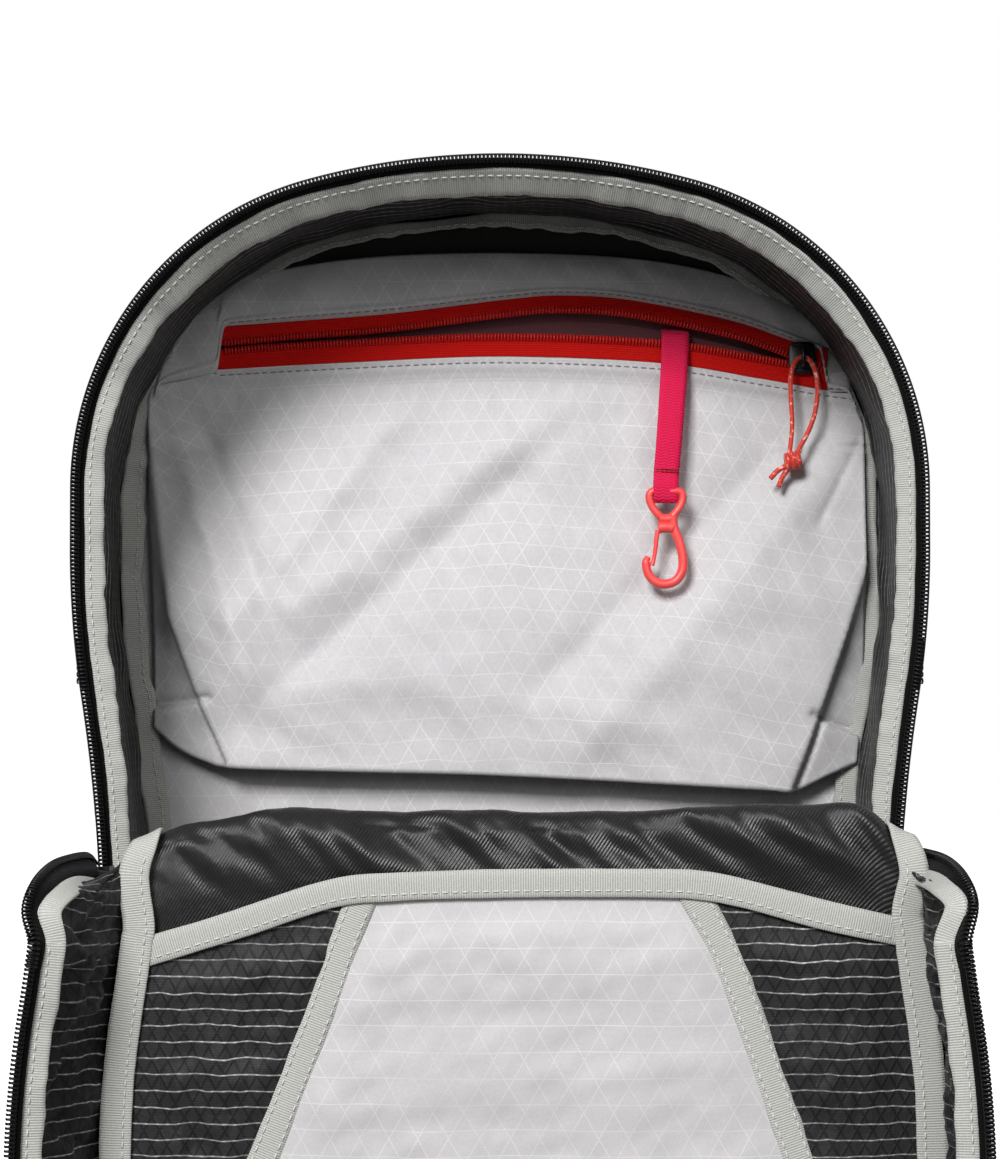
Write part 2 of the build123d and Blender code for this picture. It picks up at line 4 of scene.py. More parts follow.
import bmesh
import bpy
import numpy as np
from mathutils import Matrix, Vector


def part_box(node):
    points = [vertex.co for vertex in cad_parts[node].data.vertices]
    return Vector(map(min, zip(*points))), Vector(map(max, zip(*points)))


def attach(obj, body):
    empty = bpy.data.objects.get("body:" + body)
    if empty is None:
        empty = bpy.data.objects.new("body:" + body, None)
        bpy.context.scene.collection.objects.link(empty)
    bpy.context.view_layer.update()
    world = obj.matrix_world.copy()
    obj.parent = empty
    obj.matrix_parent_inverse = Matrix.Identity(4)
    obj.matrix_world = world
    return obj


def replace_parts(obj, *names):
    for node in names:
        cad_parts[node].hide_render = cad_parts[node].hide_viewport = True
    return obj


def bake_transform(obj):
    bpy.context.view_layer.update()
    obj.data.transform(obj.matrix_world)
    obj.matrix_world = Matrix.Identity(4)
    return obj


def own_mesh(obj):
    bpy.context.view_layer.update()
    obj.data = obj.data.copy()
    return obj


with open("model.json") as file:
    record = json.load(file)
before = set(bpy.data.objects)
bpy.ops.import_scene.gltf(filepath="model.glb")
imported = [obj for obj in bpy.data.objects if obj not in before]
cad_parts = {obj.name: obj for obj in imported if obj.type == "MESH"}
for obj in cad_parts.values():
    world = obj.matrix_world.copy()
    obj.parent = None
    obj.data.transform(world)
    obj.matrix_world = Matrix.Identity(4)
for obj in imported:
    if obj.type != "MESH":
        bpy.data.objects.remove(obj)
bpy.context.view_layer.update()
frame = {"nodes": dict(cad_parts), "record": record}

MM = 0.001


# ------------------------------------------------------------------ sizes read from the frame, in millimetres
def box(node):
    low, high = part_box(node)
    return np.array(low) / MM, np.array(high) / MM


def joint(name):
    return next(j for j in frame["record"]["behaviour"]["joints"] if j["name"] == name)


HALF_WIDTH = box("top_panel")[1][0]
HEIGHT = box("top_panel")[1][2]
SHOULDER_Z = box("top_panel")[0][2]
TAPE_REAR_Y = box("top_panel")[0][1]
BACK_Y = box("top_panel")[1][1]
FRONT_Y = box("lower_front_panel")[0][1]
RIM_COIL_Y = box("rim_zipper")[0][1]
HINGE_Y, HINGE_Z = (v / MM for v in joint("flap_fold")["pos_m"][1:])
SHOULDER_R, WAIST_Z, WAIST_R, WAIST_ANGLE = 110.0, 385.0, 330.0, 9.0
SIDE_LEAN, SPLIT_Z, BASE_R = 3.4, 279.0, 40.0
TAPE_FRONT_Y = -42.0
PACK_COIL_Y = RIM_COIL_Y + 1.45  # middle of the pack's zipper coil
FLAP_COIL_Y = -32.55  # middle of the flap's coil, closed
FLAP_CLOTH_Y = -94.9  # face of the flap's sleeves, open
LINING_BACK_Y = 79.0  # where the pocket meets the back wall's lining
SIDES = (("left", -1), ("right", 1))


# ------------------------------------------------------------------ camera, light and floor
def camera_and_light():
    scene = bpy.context.scene
    camera = bpy.data.objects.new("camera", bpy.data.cameras.new("camera"))
    scene.collection.objects.link(camera)
    camera.location = Vector((0.0, -0.930, 0.337))
    target = Vector((0.0, -0.030, 0.3588))
    camera.rotation_euler = (target - camera.location).to_track_quat("-Z", "Y").to_euler()
    camera.data.sensor_fit = "VERTICAL"
    camera.data.sensor_height = 36.0
    camera.data.lens = 82.2
    camera.data.shift_y = 0.0375
    camera.data.clip_start = 0.02
    scene.camera = camera

    world = bpy.data.worlds.new("studio")
    scene.world = world
    world.use_nodes = True
    background = world.node_tree.nodes["Background"]
    background.inputs["Color"].default_value = (1.0, 1.0, 1.0, 1.0)
    background.inputs["Strength"].default_value = 0.30
    backdrop = world.node_tree.nodes.new("ShaderNodeBackground")
    backdrop.inputs["Color"].default_value = (1.0, 1.0, 1.0, 1.0)
    path = world.node_tree.nodes.new("ShaderNodeLightPath")
    choice = world.node_tree.nodes.new("ShaderNodeMixShader")
    world.node_tree.links.new(path.outputs["Is Camera Ray"], choice.inputs[0])
    world.node_tree.links.new(background.outputs[0], choice.inputs[1])
    world.node_tree.links.new(backdrop.outputs[0], choice.inputs[2])
    world.node_tree.links.new(choice.outputs[0], world.node_tree.nodes["World Output"].inputs[0])
    scene.view_settings.view_transform = "Standard"

    lights = (
        ("key", (-0.6, -1.8, 1.35), 54.0, 0.6),
        ("fill", (0.8, -1.7, 1.0), 9.0, 0.9),
        ("top", (0.2, 0.6, 1.8), 9.0, 0.9),
    )
    for name, spot, power, size in lights:
        lamp = bpy.data.objects.new(name, bpy.data.lights.new(name, "AREA"))
        lamp.data.energy, lamp.data.size = power, size
        lamp.location = spot
        aim = Vector((0.0, 0.0, 0.32)) - Vector(spot)
        lamp.rotation_euler = aim.to_track_quat("-Z", "Y").to_euler()
        scene.collection.objects.link(lamp)

    floor = bpy.data.meshes.new("floor")
    reach = 6.0
    floor.from_pydata([(-reach, -reach, 0), (reach, -reach, 0), (reach, reach, 0), (-reach, reach, 0)], [],
                      [(0, 1, 2, 3)])
    floor_object = bpy.data.objects.new("floor", floor)
    scene.collection.objects.link(floor_object)
    floor_object.location.z = -0.0005
    material = bpy.data.materials.new("floor")
    material.use_nodes = True
    shader = material.node_tree.nodes["Principled BSDF"]
    shader.inputs["Base Color"].default_value = (0.97, 0.97, 0.97, 1)
    shader.inputs["Roughness"].default_value = 0.9
    shader.inputs["Emission Color"].default_value = (1, 1, 1, 1)
    shader.inputs["Emission Strength"].default_value = 0.9
    floor.materials.append(material)
    floor_object.visible_diffuse = False
    floor_object.visible_glossy = False


camera_and_light()


# ------------------------------------------------------------------ outline of the pack
def arc_points(cx, cz, r, start, end, step=2.0):
    count = max(2, int(abs(radians(end - start)) * r / step) + 1)
    angles = np.radians(np.linspace(start, end, count))
    return np.stack([cx + r * np.cos(angles), cz + r * np.sin(angles)], 1)


def base_outline():
    """Points (x, z) of the right half, from the base's middle to the top's middle."""
    lean, steep = radians(SIDE_LEAN), radians(WAIST_ANGLE)
    drop, corner_x = HEIGHT - SHOULDER_Z, HALF_WIDTH - SHOULDER_R
    crown_r = (corner_x**2 + drop**2 - SHOULDER_R**2) / (2 * (drop - SHOULDER_R))
    tilt = degrees(atan2(crown_r - drop, corner_x))
    bend = (HALF_WIDTH - WAIST_R + WAIST_R * cos(steep), WAIST_Z - WAIST_R * sin(steep))
    flare_r = (bend[1] - SPLIT_Z) / (sin(steep) - sin(lean))
    flare = (bend[0] + flare_r * cos(steep), bend[1] - flare_r * sin(steep))
    split_x = flare[0] - flare_r * cos(lean)
    base_x = split_x + ((BASE_R - SPLIT_Z) * sin(lean) - BASE_R) / cos(lean)
    runs = [
        np.linspace((0, 0), (base_x, 0), 40),
        arc_points(base_x, BASE_R, BASE_R, -90, -SIDE_LEAN, 1.5),
        np.linspace((base_x + BASE_R * cos(lean), BASE_R - BASE_R * sin(lean)), (split_x, SPLIT_Z), 90),
        arc_points(flare[0], flare[1], flare_r, 180 - SIDE_LEAN, 180 - WAIST_ANGLE),
        arc_points(HALF_WIDTH - WAIST_R, WAIST_Z, WAIST_R, -WAIST_ANGLE, 0),
        np.linspace((HALF_WIDTH, WAIST_Z), (HALF_WIDTH, SHOULDER_Z), 8),
        arc_points(corner_x, SHOULDER_Z, SHOULDER_R, 0, tilt),
        arc_points(0, HEIGHT - crown_r, crown_r, tilt, 90),
    ]
    points = np.concatenate(runs)
    keep = np.concatenate([[True], np.hypot(*np.diff(points, axis=0).T) > 1e-4])
    return points[keep]


RIGHT = base_outline()


def full_outline():
    """Right half upwards, then left half downwards, with arc length and unit inward normals."""
    left = RIGHT[::-1][1:] * (-1, 1)
    points = np.concatenate([RIGHT, left])
    steps = np.hypot(*np.diff(points, axis=0).T)
    length = np.concatenate([[0], np.cumsum(steps)])
    tangent = np.gradient(points, length, axis=0)
    tangent /= np.linalg.norm(tangent, axis=1)[:, None]
    inward = np.stack([-tangent[:, 1], tangent[:, 0]], 1)
    return points, length, inward


OUT_P, OUT_S, OUT_N = full_outline()
TOTAL_S = OUT_S[-1]


def s_at(z, side):
    """Arc length at which the outline passes height z on one side (1 right, -1 left)."""
    half = len(OUT_S) // 2
    if side > 0:
        return float(np.interp(z, OUT_P[:half + 1, 1], OUT_S[:half + 1]))
    return float(TOTAL_S - np.interp(z, OUT_P[:half + 1, 1], OUT_S[:half + 1]))


def on_outline(s, inset):
    """x and z at arc length s, drawn in by inset; both may be arrays."""
    x, z = np.interp(s, OUT_S, OUT_P[:, 0]), height_at(s)
    nx, nz = np.interp(s, OUT_S, OUT_N[:, 0]), np.interp(s, OUT_S, OUT_N[:, 1])
    return x + nx * inset, z + nz * inset


def ring_at(s, inset, y):
    """Points on the outline at depth y, drawn in by inset; y may vary with s."""
    x, z = on_outline(s, inset)
    return np.stack([x, y + 0 * x, z], 1)


def height_at(s):
    """The outline's height at arc length s."""
    return np.interp(s, OUT_S, OUT_P[:, 1])


def folded(points):
    """Points of the closed opening panel, folded down half a turn about the hinge."""
    out = np.array(points, float)
    out[..., 1] = 2 * HINGE_Y - out[..., 1]
    out[..., 2] = 2 * HINGE_Z - out[..., 2]
    return out


# ------------------------------------------------------------------ smooth noise
def wave_noise(a, b, seed, scale):
    """Smooth noise of two coordinates in millimetres, about -1 to 1, from fixed sums of waves."""
    rng = np.random.default_rng(seed)
    total, weight, size = 0.0, 0.0, scale
    for octave in range(3):
        for _ in range(4):
            angle, phase = rng.uniform(0, 2 * pi), rng.uniform(0, 2 * pi)
            k = 2 * pi / (size * rng.uniform(0.8, 1.3))
            bend = 0.7 * np.sin((a * cos(angle + 1.3) + b * sin(angle + 1.3)) * k * 0.43 + phase * 2)
            total = total + 0.5**octave * np.sin((a * cos(angle) + b * sin(angle)) * k + phase + bend)
        weight += 4 * 0.5**octave
        size *= 0.5
    return total / weight * 2.0


def line_noise(s, seed, scale):
    return wave_noise(s, np.zeros_like(s) + seed * 7.3, seed, scale)


def smooth(t):
    t = np.clip(t, 0, 1)
    return t * t * (3 - 2 * t)


def crease(x, z, start, end, width, height, fade):
    """A ridge (or a valley, with negative height) along a line from start to end."""
    ax, az = start
    bx, bz = end
    run = hypot(bx - ax, bz - az)
    ux, uz = (bx - ax) / run, (bz - az) / run
    along = ((x - ax) * ux + (z - az) * uz) / run
    across = (-(x - ax) * uz + (z - az) * ux) / width
    ends = smooth((along + fade) / fade) * smooth((1 + fade - along) / fade)
    return height * ends / (1 + across**2 * 1.8)


# ------------------------------------------------------------------ mesh building
def new_object(name, points, faces, material, corner_uv=None, closed=False):
    """A mesh object from millimetre points; corner_uv is per face corner, in millimetres of cloth."""
    mesh = bpy.data.meshes.new(name)
    mesh.from_pydata((np.asarray(points, float).reshape(-1, 3) * MM).tolist(), [], [tuple(f) for f in faces])
    if corner_uv is not None:
        layer = mesh.uv_layers.new(name="weave")
        layer.data.foreach_set("uv", np.asarray(corner_uv, float).ravel())
    if closed:
        work = bmesh.new()
        work.from_mesh(mesh)
        bmesh.ops.recalc_face_normals(work, faces=work.faces)
        work.to_mesh(mesh)
        work.free()
    mesh.polygons.foreach_set("use_smooth", [True] * len(mesh.polygons))
    mesh.materials.append(material)
    obj = bpy.data.objects.new(name, mesh)
    bpy.context.scene.collection.objects.link(obj)
    return obj


def skin(name, points, material, close=False, uv=None, thickness=0.0, subdivide=0):
    """A surface over a grid of points (rows, columns, 3): an open sheet, or a closed loft with end caps."""
    points = np.asarray(points, float)
    rows, columns = points.shape[:2]
    i, j = np.meshgrid(np.arange(rows - 1), np.arange(columns - (0 if close else 1)), indexing="ij")
    k = (j + 1) % columns
    faces = np.stack([i * columns + j, i * columns + k, (i + 1) * columns + k, (i + 1) * columns + j], 2)
    if uv is None:
        looped = np.concatenate([points, points[:, :1]], 1) if close else points
        u = np.concatenate([[0], np.cumsum(np.linalg.norm(np.diff(points, axis=0), axis=2).mean(1))])
        v = np.concatenate([[0], np.cumsum(np.linalg.norm(np.diff(looped, axis=1), axis=2).mean(0))])
        uv = np.stack(np.meshgrid(u, v, indexing="ij"), 2)
    corners = np.stack([uv[i, j], uv[i, j + 1], uv[i + 1, j + 1], uv[i + 1, j]], 2).reshape(-1, 2)
    faces = faces.reshape(-1, 4).tolist()
    if close:
        faces += [list(range(columns))[::-1], list(range((rows - 1) * columns, rows * columns))]
        corners = np.concatenate([corners, uv[0, :columns][::-1], uv[-1, :columns]])
    obj = new_object(name, points, faces, material, corners, closed=close)
    if thickness:
        solid = obj.modifiers.new("solid", "SOLIDIFY")
        solid.thickness, solid.offset = thickness * MM, 0.0
    if subdivide:
        smoother = obj.modifiers.new("smooth", "SUBSURF")
        smoother.levels = smoother.render_levels = subdivide
    return obj


def merged(parts):
    """Joins (points, faces) pairs into one list of points and faces."""
    points, faces, base = [], [], 0
    for p, f in parts:
        p = np.asarray(p, float).reshape(-1, 3)
        points.append(p)
        faces += [tuple(v + base for v in face) for face in f]
        base += len(p)
    return np.concatenate(points), faces


def flat_uv(rows):
    """Cloth coordinates of a panel that lies across the pack: its height and its width."""
    return np.stack([rows[..., 2], rows[..., 0]], 2)


def filled_out(wave, power):
    """A sine or a cosine with fuller shoulders, for sections that are rounded boxes."""
    return np.sign(wave) * np.abs(wave) ** power


def unit(v):
    return v / np.maximum(np.linalg.norm(v, axis=-1, keepdims=True), 1e-9)


def tube_mesh(path, radius, sides=10):
    """A round tube along points, with end caps; radius may vary."""
    path = np.asarray(path, float)
    radius = np.broadcast_to(np.asarray(radius, float), (len(path),))
    tangent = unit(np.gradient(path, axis=0))
    side = np.cross(tangent[0], (0.31, 0.22, 0.93))
    rings = []
    for point, t, r in zip(path, tangent, radius):
        side = side - t * side.dot(t)
        side /= np.linalg.norm(side)
        up = np.cross(t, side)
        angles = np.linspace(0, 2 * pi, sides, endpoint=False)
        rings.append(point + r * (np.outer(np.cos(angles), side) + np.outer(np.sin(angles), up)))
    count = len(path)
    faces = []
    for i in range(count - 1):
        for j in range(sides):
            k = (j + 1) % sides
            faces.append((i * sides + j, i * sides + k, (i + 1) * sides + k, (i + 1) * sides + j))
    faces += [tuple(range(sides))[::-1], tuple(range((count - 1) * sides, count * sides))]
    return np.concatenate(rings), faces


def smooth_path(points, count):
    """A Catmull-Rom line through points, resampled evenly."""
    p = np.asarray(points, float)
    p = np.concatenate([[2 * p[0] - p[1]], p, [2 * p[-1] - p[-2]]])
    out = []
    for i in range(1, len(p) - 2):
        t = np.linspace(0, 1, 24, endpoint=False)[:, None]
        a, b, c, d = p[i - 1:i + 3]
        out.append(0.5 * (2 * b + (c - a) * t + (2 * a - 5 * b + 4 * c - d) * t**2
                          + (3 * b - a - 3 * c + d) * t**3))
    out = np.concatenate(out + [p[-2:-1]])
    length = np.concatenate([[0], np.cumsum(np.linalg.norm(np.diff(out, axis=0), axis=1))])
    even = np.linspace(0, length[-1], count)
    return np.stack([np.interp(even, length, out[:, k]) for k in range(out.shape[1])], 1)


def copies(template, faces, origins, x_axes, y_axes, z_axes):
    """Copies of a small mesh, each at its origin and turned to its axes."""
    template, count = np.asarray(template, float), len(origins)
    points = origins[:, None] + sum(template[None, :, k:k + 1] * axes[:, None]
                                    for k, axes in enumerate((x_axes, y_axes, z_axes)))
    base = np.arange(count) * len(template)
    out = [tuple(v + b for v in face) for b in base.tolist() for face in faces]
    return points.reshape(-1, 3), out


def walk(path, pitch):
    """Evenly spaced places along a path, with the path's direction at each."""
    path = np.asarray(path, float)
    run = np.concatenate([[0], np.cumsum(np.linalg.norm(np.diff(path, axis=0), axis=1))])
    spots = np.arange(0.5 * pitch, run[-1], pitch)
    at = lambda t: np.stack([np.interp(t, run, path[:, k]) for k in range(3)], 1)
    return spots, run, at(spots), unit(at(spots + 0.2) - at(spots - 0.2))


STITCH = tube_mesh([(-1.05, 0, -0.3), (-0.8, 0, 0.08), (0, 0, 0.2), (0.8, 0, 0.08), (1.05, 0, -0.3)],
                   [0.13, 0.25, 0.28, 0.25, 0.13], 6)


def stitches(name, lines, material, body, pitch=3.2, size=1.0):
    """Thread loops along several (path, normal) lines, as one object."""
    parts = []
    for path, normal in lines:
        path = np.asarray(path, float)
        spots, run, origins, along = walk(path, pitch)
        normal = np.broadcast_to(np.asarray(normal, float), path.shape)
        up = unit(np.stack([np.interp(spots, run, normal[:, k]) for k in range(3)], 1))
        side = unit(np.cross(up, along))
        up = np.cross(along, side)
        parts.append(copies(STITCH[0] * size, STITCH[1], origins, along, side, up))
    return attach(new_object(name, *merged(parts), material), body)


def loft(name, path, across, width, thickness, material, crown=0.0):
    """Webbing or a binding along a path: a flat band with rounded edges, width along across."""
    path = np.asarray(path, float)
    across = unit(np.broadcast_to(np.asarray(across, float), path.shape))
    tangent = unit(np.gradient(path, axis=0))
    across = unit(across - tangent * (across * tangent).sum(1, keepdims=True))
    normal = np.cross(tangent, across)
    width = np.broadcast_to(np.asarray(width, float), (len(path),))[:, None, None]
    edge, columns = 0.35, 7
    w = np.linspace(-1, 1, columns)
    top = [(a, 0.5 * thickness + crown * (1 - a * a)) for a in w]
    loop = [(-1, -0.2 * thickness), (-1, 0.2 * thickness), *top[1:-1], (1, 0.2 * thickness),
            (1, -0.2 * thickness)]
    loop += [(a, h - thickness) for a, h in reversed(top[1:-1])]
    loop[2:2] = [(-1 + edge * 0.2, top[0][1])]
    loop = np.array(loop)
    rings = (path[:, None] + loop[None, :, :1] * width / 2 * across[:, None]
             + loop[None, :, 1:] * normal[:, None])
    return skin(name, rings, material, close=True)


def band(s, outer, inner, y_outer, y_inner, thick, columns=6):
    """Rings of a flat strip that follows the outline between two insets; arrays may vary with s."""
    full = lambda v: np.broadcast_to(np.asarray(v, float), s.shape)[:, None]
    outer, inner, y_outer, y_inner = full(outer), full(inner), full(y_outer), full(y_inner)
    t = np.linspace(0, 1, columns)[None]
    front_i, front_y = outer + (inner - outer) * t, y_outer + (y_inner - y_outer) * t
    round_in = 0.25 * thick
    front_y = front_y - round_in * np.sin(np.pi * t) ** 0.5
    inset = np.concatenate([front_i, front_i[:, ::-1]], 1)
    y = np.concatenate([front_y, front_y[:, ::-1] + thick], 1)
    x, z = on_outline(s[:, None] + 0 * inset, inset)
    return np.stack([x, y, z], 2)


# ------------------------------------------------------------------ materials
def rgb(red, green, blue):
    """A display colour, 0 to 255, as the linear colour that shaders take."""
    def linear(v):
        v /= 255
        return v / 12.92 if v <= 0.04045 else ((v + 0.055) / 1.055) ** 2.4
    return (linear(red), linear(green), linear(blue), 1.0)


class Look:
    """One material's nodes. Cloth coordinates are millimetres, from the mesh or from the object's place."""

    def __init__(self, name, color, rough=0.7, specular=0.3, sheen=0.0, metallic=0.0, cloth=True):
        self.material = bpy.data.materials.new(name)
        self.material.use_nodes = True
        self.tree = self.material.node_tree
        self.shader = self.tree.nodes["Principled BSDF"]
        self.color = color
        for key, value in (("Roughness", rough), ("Specular IOR Level", specular), ("Sheen Weight", sheen),
                           ("Metallic", metallic), ("Sheen Roughness", 0.45)):
            self.shader.inputs[key].default_value = value
        self.shader.inputs["Base Color"].default_value = color
        if cloth:
            place = self.node("ShaderNodeUVMap", uv_map="weave").outputs[0]
        else:
            scale = self.node("ShaderNodeVectorMath", operation="SCALE")
            self.link(self.node("ShaderNodeTexCoord").outputs["Object"], scale.inputs[0])
            scale.inputs["Scale"].default_value = 1 / MM
            place = scale.outputs[0]
        self.place = place
        split = self.node("ShaderNodeSeparateXYZ")
        self.link(place, split.inputs[0])
        self.u, self.v, self.w = split.outputs
        self.heights = []

    def node(self, kind, **settings):
        made = self.tree.nodes.new(kind)
        for key, value in settings.items():
            setattr(made, key, value)
        return made

    def link(self, output, socket):
        self.tree.links.new(output, socket)

    def feed(self, value, socket):
        if isinstance(value, (int, float, tuple)):
            socket.default_value = value
        else:
            self.link(value, socket)

    def math(self, operation, a, b=0.0, c=0.0, clamp=False):
        made = self.node("ShaderNodeMath", operation=operation, use_clamp=clamp)
        for value, socket in zip((a, b, c), made.inputs):
            self.feed(value, socket)
        return made.outputs[0]

    def noise(self, scale, detail=3.0, stretch=(1, 1, 1)):
        """Noise of about 0 to 1; scale is the size of a feature in millimetres."""
        move = self.node("ShaderNodeMapping")
        self.link(self.place, move.inputs["Vector"])
        move.inputs["Scale"].default_value = tuple(s / scale for s in stretch)
        made = self.node("ShaderNodeTexNoise")
        self.link(move.outputs[0], made.inputs["Vector"])
        made.inputs["Scale"].default_value = 1.0
        made.inputs["Detail"].default_value = detail
        made.inputs["Roughness"].default_value = 0.55
        return made.outputs[0]

    def along(self, angle, pitch, wobble=None):
        """Position across lines at an angle, counted in pitches."""
        a = radians(angle)
        t = self.math("ADD", self.math("MULTIPLY", self.u, cos(a) / pitch),
                      self.math("MULTIPLY", self.v, sin(a) / pitch))
        return t if wobble is None else self.math("ADD", t, wobble)

    def lines(self, angle, pitch, width, wobble=None):
        """1 on thin lines, 0 between them."""
        t = self.math("FRACT", self.along(angle, pitch, wobble))
        away = self.math("MULTIPLY", self.math("ABSOLUTE", self.math("SUBTRACT", t, 0.5)), pitch / width)
        return self.math("SUBTRACT", 1.0, away, clamp=True)

    def wave(self, angle, pitch, wobble=None):
        """A sine of 0 to 1 across lines."""
        turn = self.math("MULTIPLY", self.along(angle, pitch, wobble), 2 * pi)
        return self.math("MULTIPLY_ADD", self.math("SINE", turn), 0.5, 0.5)

    def mix(self, share, a, b):
        made = self.node("ShaderNodeMix", data_type="RGBA")
        self.feed(share, made.inputs[0])
        self.feed(a, made.inputs[6])
        self.feed(b, made.inputs[7])
        return made.outputs[2]

    def scaled(self, value, amount):
        return self.math("MULTIPLY", value, amount)

    def paint(self, color):
        self.color = color
        self.feed(color, self.shader.inputs["Base Color"])

    def relief(self, height, depth):
        """Adds a height of 0 to 1 that is depth millimetres deep."""
        self.heights.append(self.math("MULTIPLY", height, depth * MM))

    def rough(self, low, high, value):
        spread = self.math("MULTIPLY_ADD", value, high - low, low)
        self.link(spread, self.shader.inputs["Roughness"])

    def done(self):
        total = self.heights[0]
        for more in self.heights[1:]:
            total = self.math("ADD", total, more)
        bump = self.node("ShaderNodeBump")
        bump.inputs["Strength"].default_value = 1.0
        bump.inputs["Distance"].default_value = 1.0
        self.link(total, bump.inputs["Height"])
        self.link(bump.outputs[0], self.shader.inputs["Normal"])
        return self.material


def triangle_lining(name, base, dark, line, line_share=0.6):
    """Coated lining: fine twill with a faint grid of triangles in a lighter thread."""
    look = Look(name, base, rough=0.55, specular=0.3, sheen=0.04)
    wobble = look.scaled(look.noise(60, 2), 0.35)
    side = 9.4
    height = side * sqrt(3) / 2
    grid = look.lines(0, height, 0.3, wobble)
    for angle in (60, 120):
        grid = look.math("MAXIMUM", grid, look.lines(angle, height, 0.3, wobble))
    dashes = look.math("MULTIPLY_ADD", look.wave(0, 0.9), 0.5, 0.5)
    seen = look.math("MULTIPLY_ADD", look.noise(45, 2), 1.5, -0.15, clamp=True)
    grid = look.math("MULTIPLY", look.math("MULTIPLY", grid, seen), dashes)
    twill = look.math("MULTIPLY", look.wave(52, 0.72),
                      look.math("MULTIPLY_ADD", look.wave(-38, 0.72), 0.5, 0.5))
    grain = look.math("MULTIPLY_ADD", twill, 0.22, look.scaled(look.noise(1.2, 2), 0.45))
    cloth = look.mix(grain, dark, base)
    look.paint(look.mix(look.scaled(grid, line_share), cloth, line))
    look.rough(0.42, 0.68, look.noise(5, 3))
    look.relief(twill, 0.02)
    look.relief(grid, 0.05)
    look.relief(look.noise(14, 4), 0.5)
    return look.done()


def grosgrain(name, base, dark, pitch=0.78, sheen=0.25):
    """Ribbed binding tape: ribs run across its length."""
    look = Look(name, base, rough=0.75, specular=0.2, sheen=sheen)
    wobble = look.scaled(look.noise(6, 2), 0.3)
    rib = look.wave(0, pitch, wobble)
    fibre = look.noise(0.5, 2, stretch=(0.4, 1, 1))
    shade = look.math("MULTIPLY_ADD", rib, 0.55, look.scaled(fibre, 0.45))
    color = look.mix(shade, dark, base)
    soiled = look.math("MULTIPLY", look.noise(30, 3), 0.14)
    look.paint(look.mix(soiled, color, dark))
    look.relief(rib, 0.13)
    look.relief(fibre, 0.05)
    look.relief(look.noise(9, 3), 0.25)
    return look.done()


def ripstop(name, base, lighter, thread, spacing=5.7, across=True, width=0.3):
    """Black ripstop with a dark diamond grid and wavy pale threads along one direction."""
    look = Look(name, base, rough=0.5, specular=0.2, sheen=0.02)
    wobble = look.scaled(look.noise(15, 2), 0.55)
    angle = 90 if across else 0
    along = 0 if across else 90
    pale = look.lines(angle, spacing, width, wobble)
    dots = look.math("MULTIPLY_ADD", look.math("POWER", look.wave(along, 3.5), 4.0), 0.45, 0.55)
    pale = look.math("MULTIPLY", pale, dots)
    seen = look.math("MULTIPLY_ADD", look.noise(30, 2), 1.6, -0.2, clamp=True)
    pale = look.math("MULTIPLY", pale, seen)
    grid = look.math("MAXIMUM", look.lines(angle - 60, 4.4, 0.62), look.lines(angle + 60, 4.4, 0.62))
    weave = look.math("MULTIPLY", look.wave(0, 0.5), look.wave(90, 0.5))
    shade = look.math("MULTIPLY_ADD", grid, 0.8, look.scaled(weave, 0.25), clamp=True)
    cloth = look.mix(shade, base, lighter)
    look.paint(look.mix(pale, cloth, thread))
    look.rough(0.38, 0.66, look.noise(4, 3))
    look.relief(grid, 0.10)
    look.relief(pale, 0.12)
    look.relief(weave, 0.04)
    look.relief(look.noise(12, 4), 0.7)
    return look.done()


def plain_weave(name, base, lighter, pitch=0.6, depth=0.07, twill=False, rough=(0.5, 0.75), sheen=0.2,
                crumple=0.5, cloth=True, specular=0.12):
    """Plain or twill cloth, rubbed paler in patches."""
    look = Look(name, base, specular=specular, sheen=sheen, cloth=cloth)
    if twill:
        weave = look.wave(56, pitch)
    else:
        weave = look.math("MULTIPLY", look.wave(0, pitch), look.wave(90, pitch))
    grain = look.noise(0.9, 3)
    shade = look.math("MULTIPLY_ADD", weave, 0.5, look.scaled(grain, 0.5))
    tone = look.mix(shade, base, lighter)
    worn = look.math("MULTIPLY_ADD", look.noise(22, 4), 0.4, -0.14, clamp=True)
    look.paint(look.mix(worn, tone, lighter))
    look.rough(*rough, look.noise(7, 3))
    look.relief(weave, depth)
    look.relief(grain, depth * 0.6)
    look.relief(look.noise(16, 4), crumple)
    return look.done()


def webbing(name, base, dark, pitch=1.0, rough=0.6, sheen=0.2):
    """Woven tape: ribs across the length, with a fine chevron."""
    look = Look(name, base, rough=rough, specular=0.2, sheen=sheen)
    slant = look.scaled(look.wave(90, 3.4), 0.5)
    rib = look.wave(0, pitch, slant)
    fine = look.wave(90, 0.55)
    shade = look.math("MULTIPLY_ADD", rib, 0.6, look.scaled(fine, 0.3))
    look.paint(look.mix(shade, dark, base))
    look.relief(rib, 0.14)
    look.relief(fine, 0.06)
    look.relief(look.noise(8, 3), 0.2)
    return look.done()


def zip_tape(name, base, dark):
    look = Look(name, base, rough=0.8, specular=0.1, sheen=0.03)
    rib = look.wave(90, 0.85)
    knit = look.math("MULTIPLY", look.wave(0, 0.8), rib)
    shade = look.math("MULTIPLY_ADD", knit, 0.7, look.scaled(look.noise(0.7, 2), 0.35))
    look.paint(look.mix(shade, dark, base))
    look.relief(rib, 0.10)
    look.relief(knit, 0.08)
    look.relief(look.noise(10, 3), 0.2)
    return look.done()


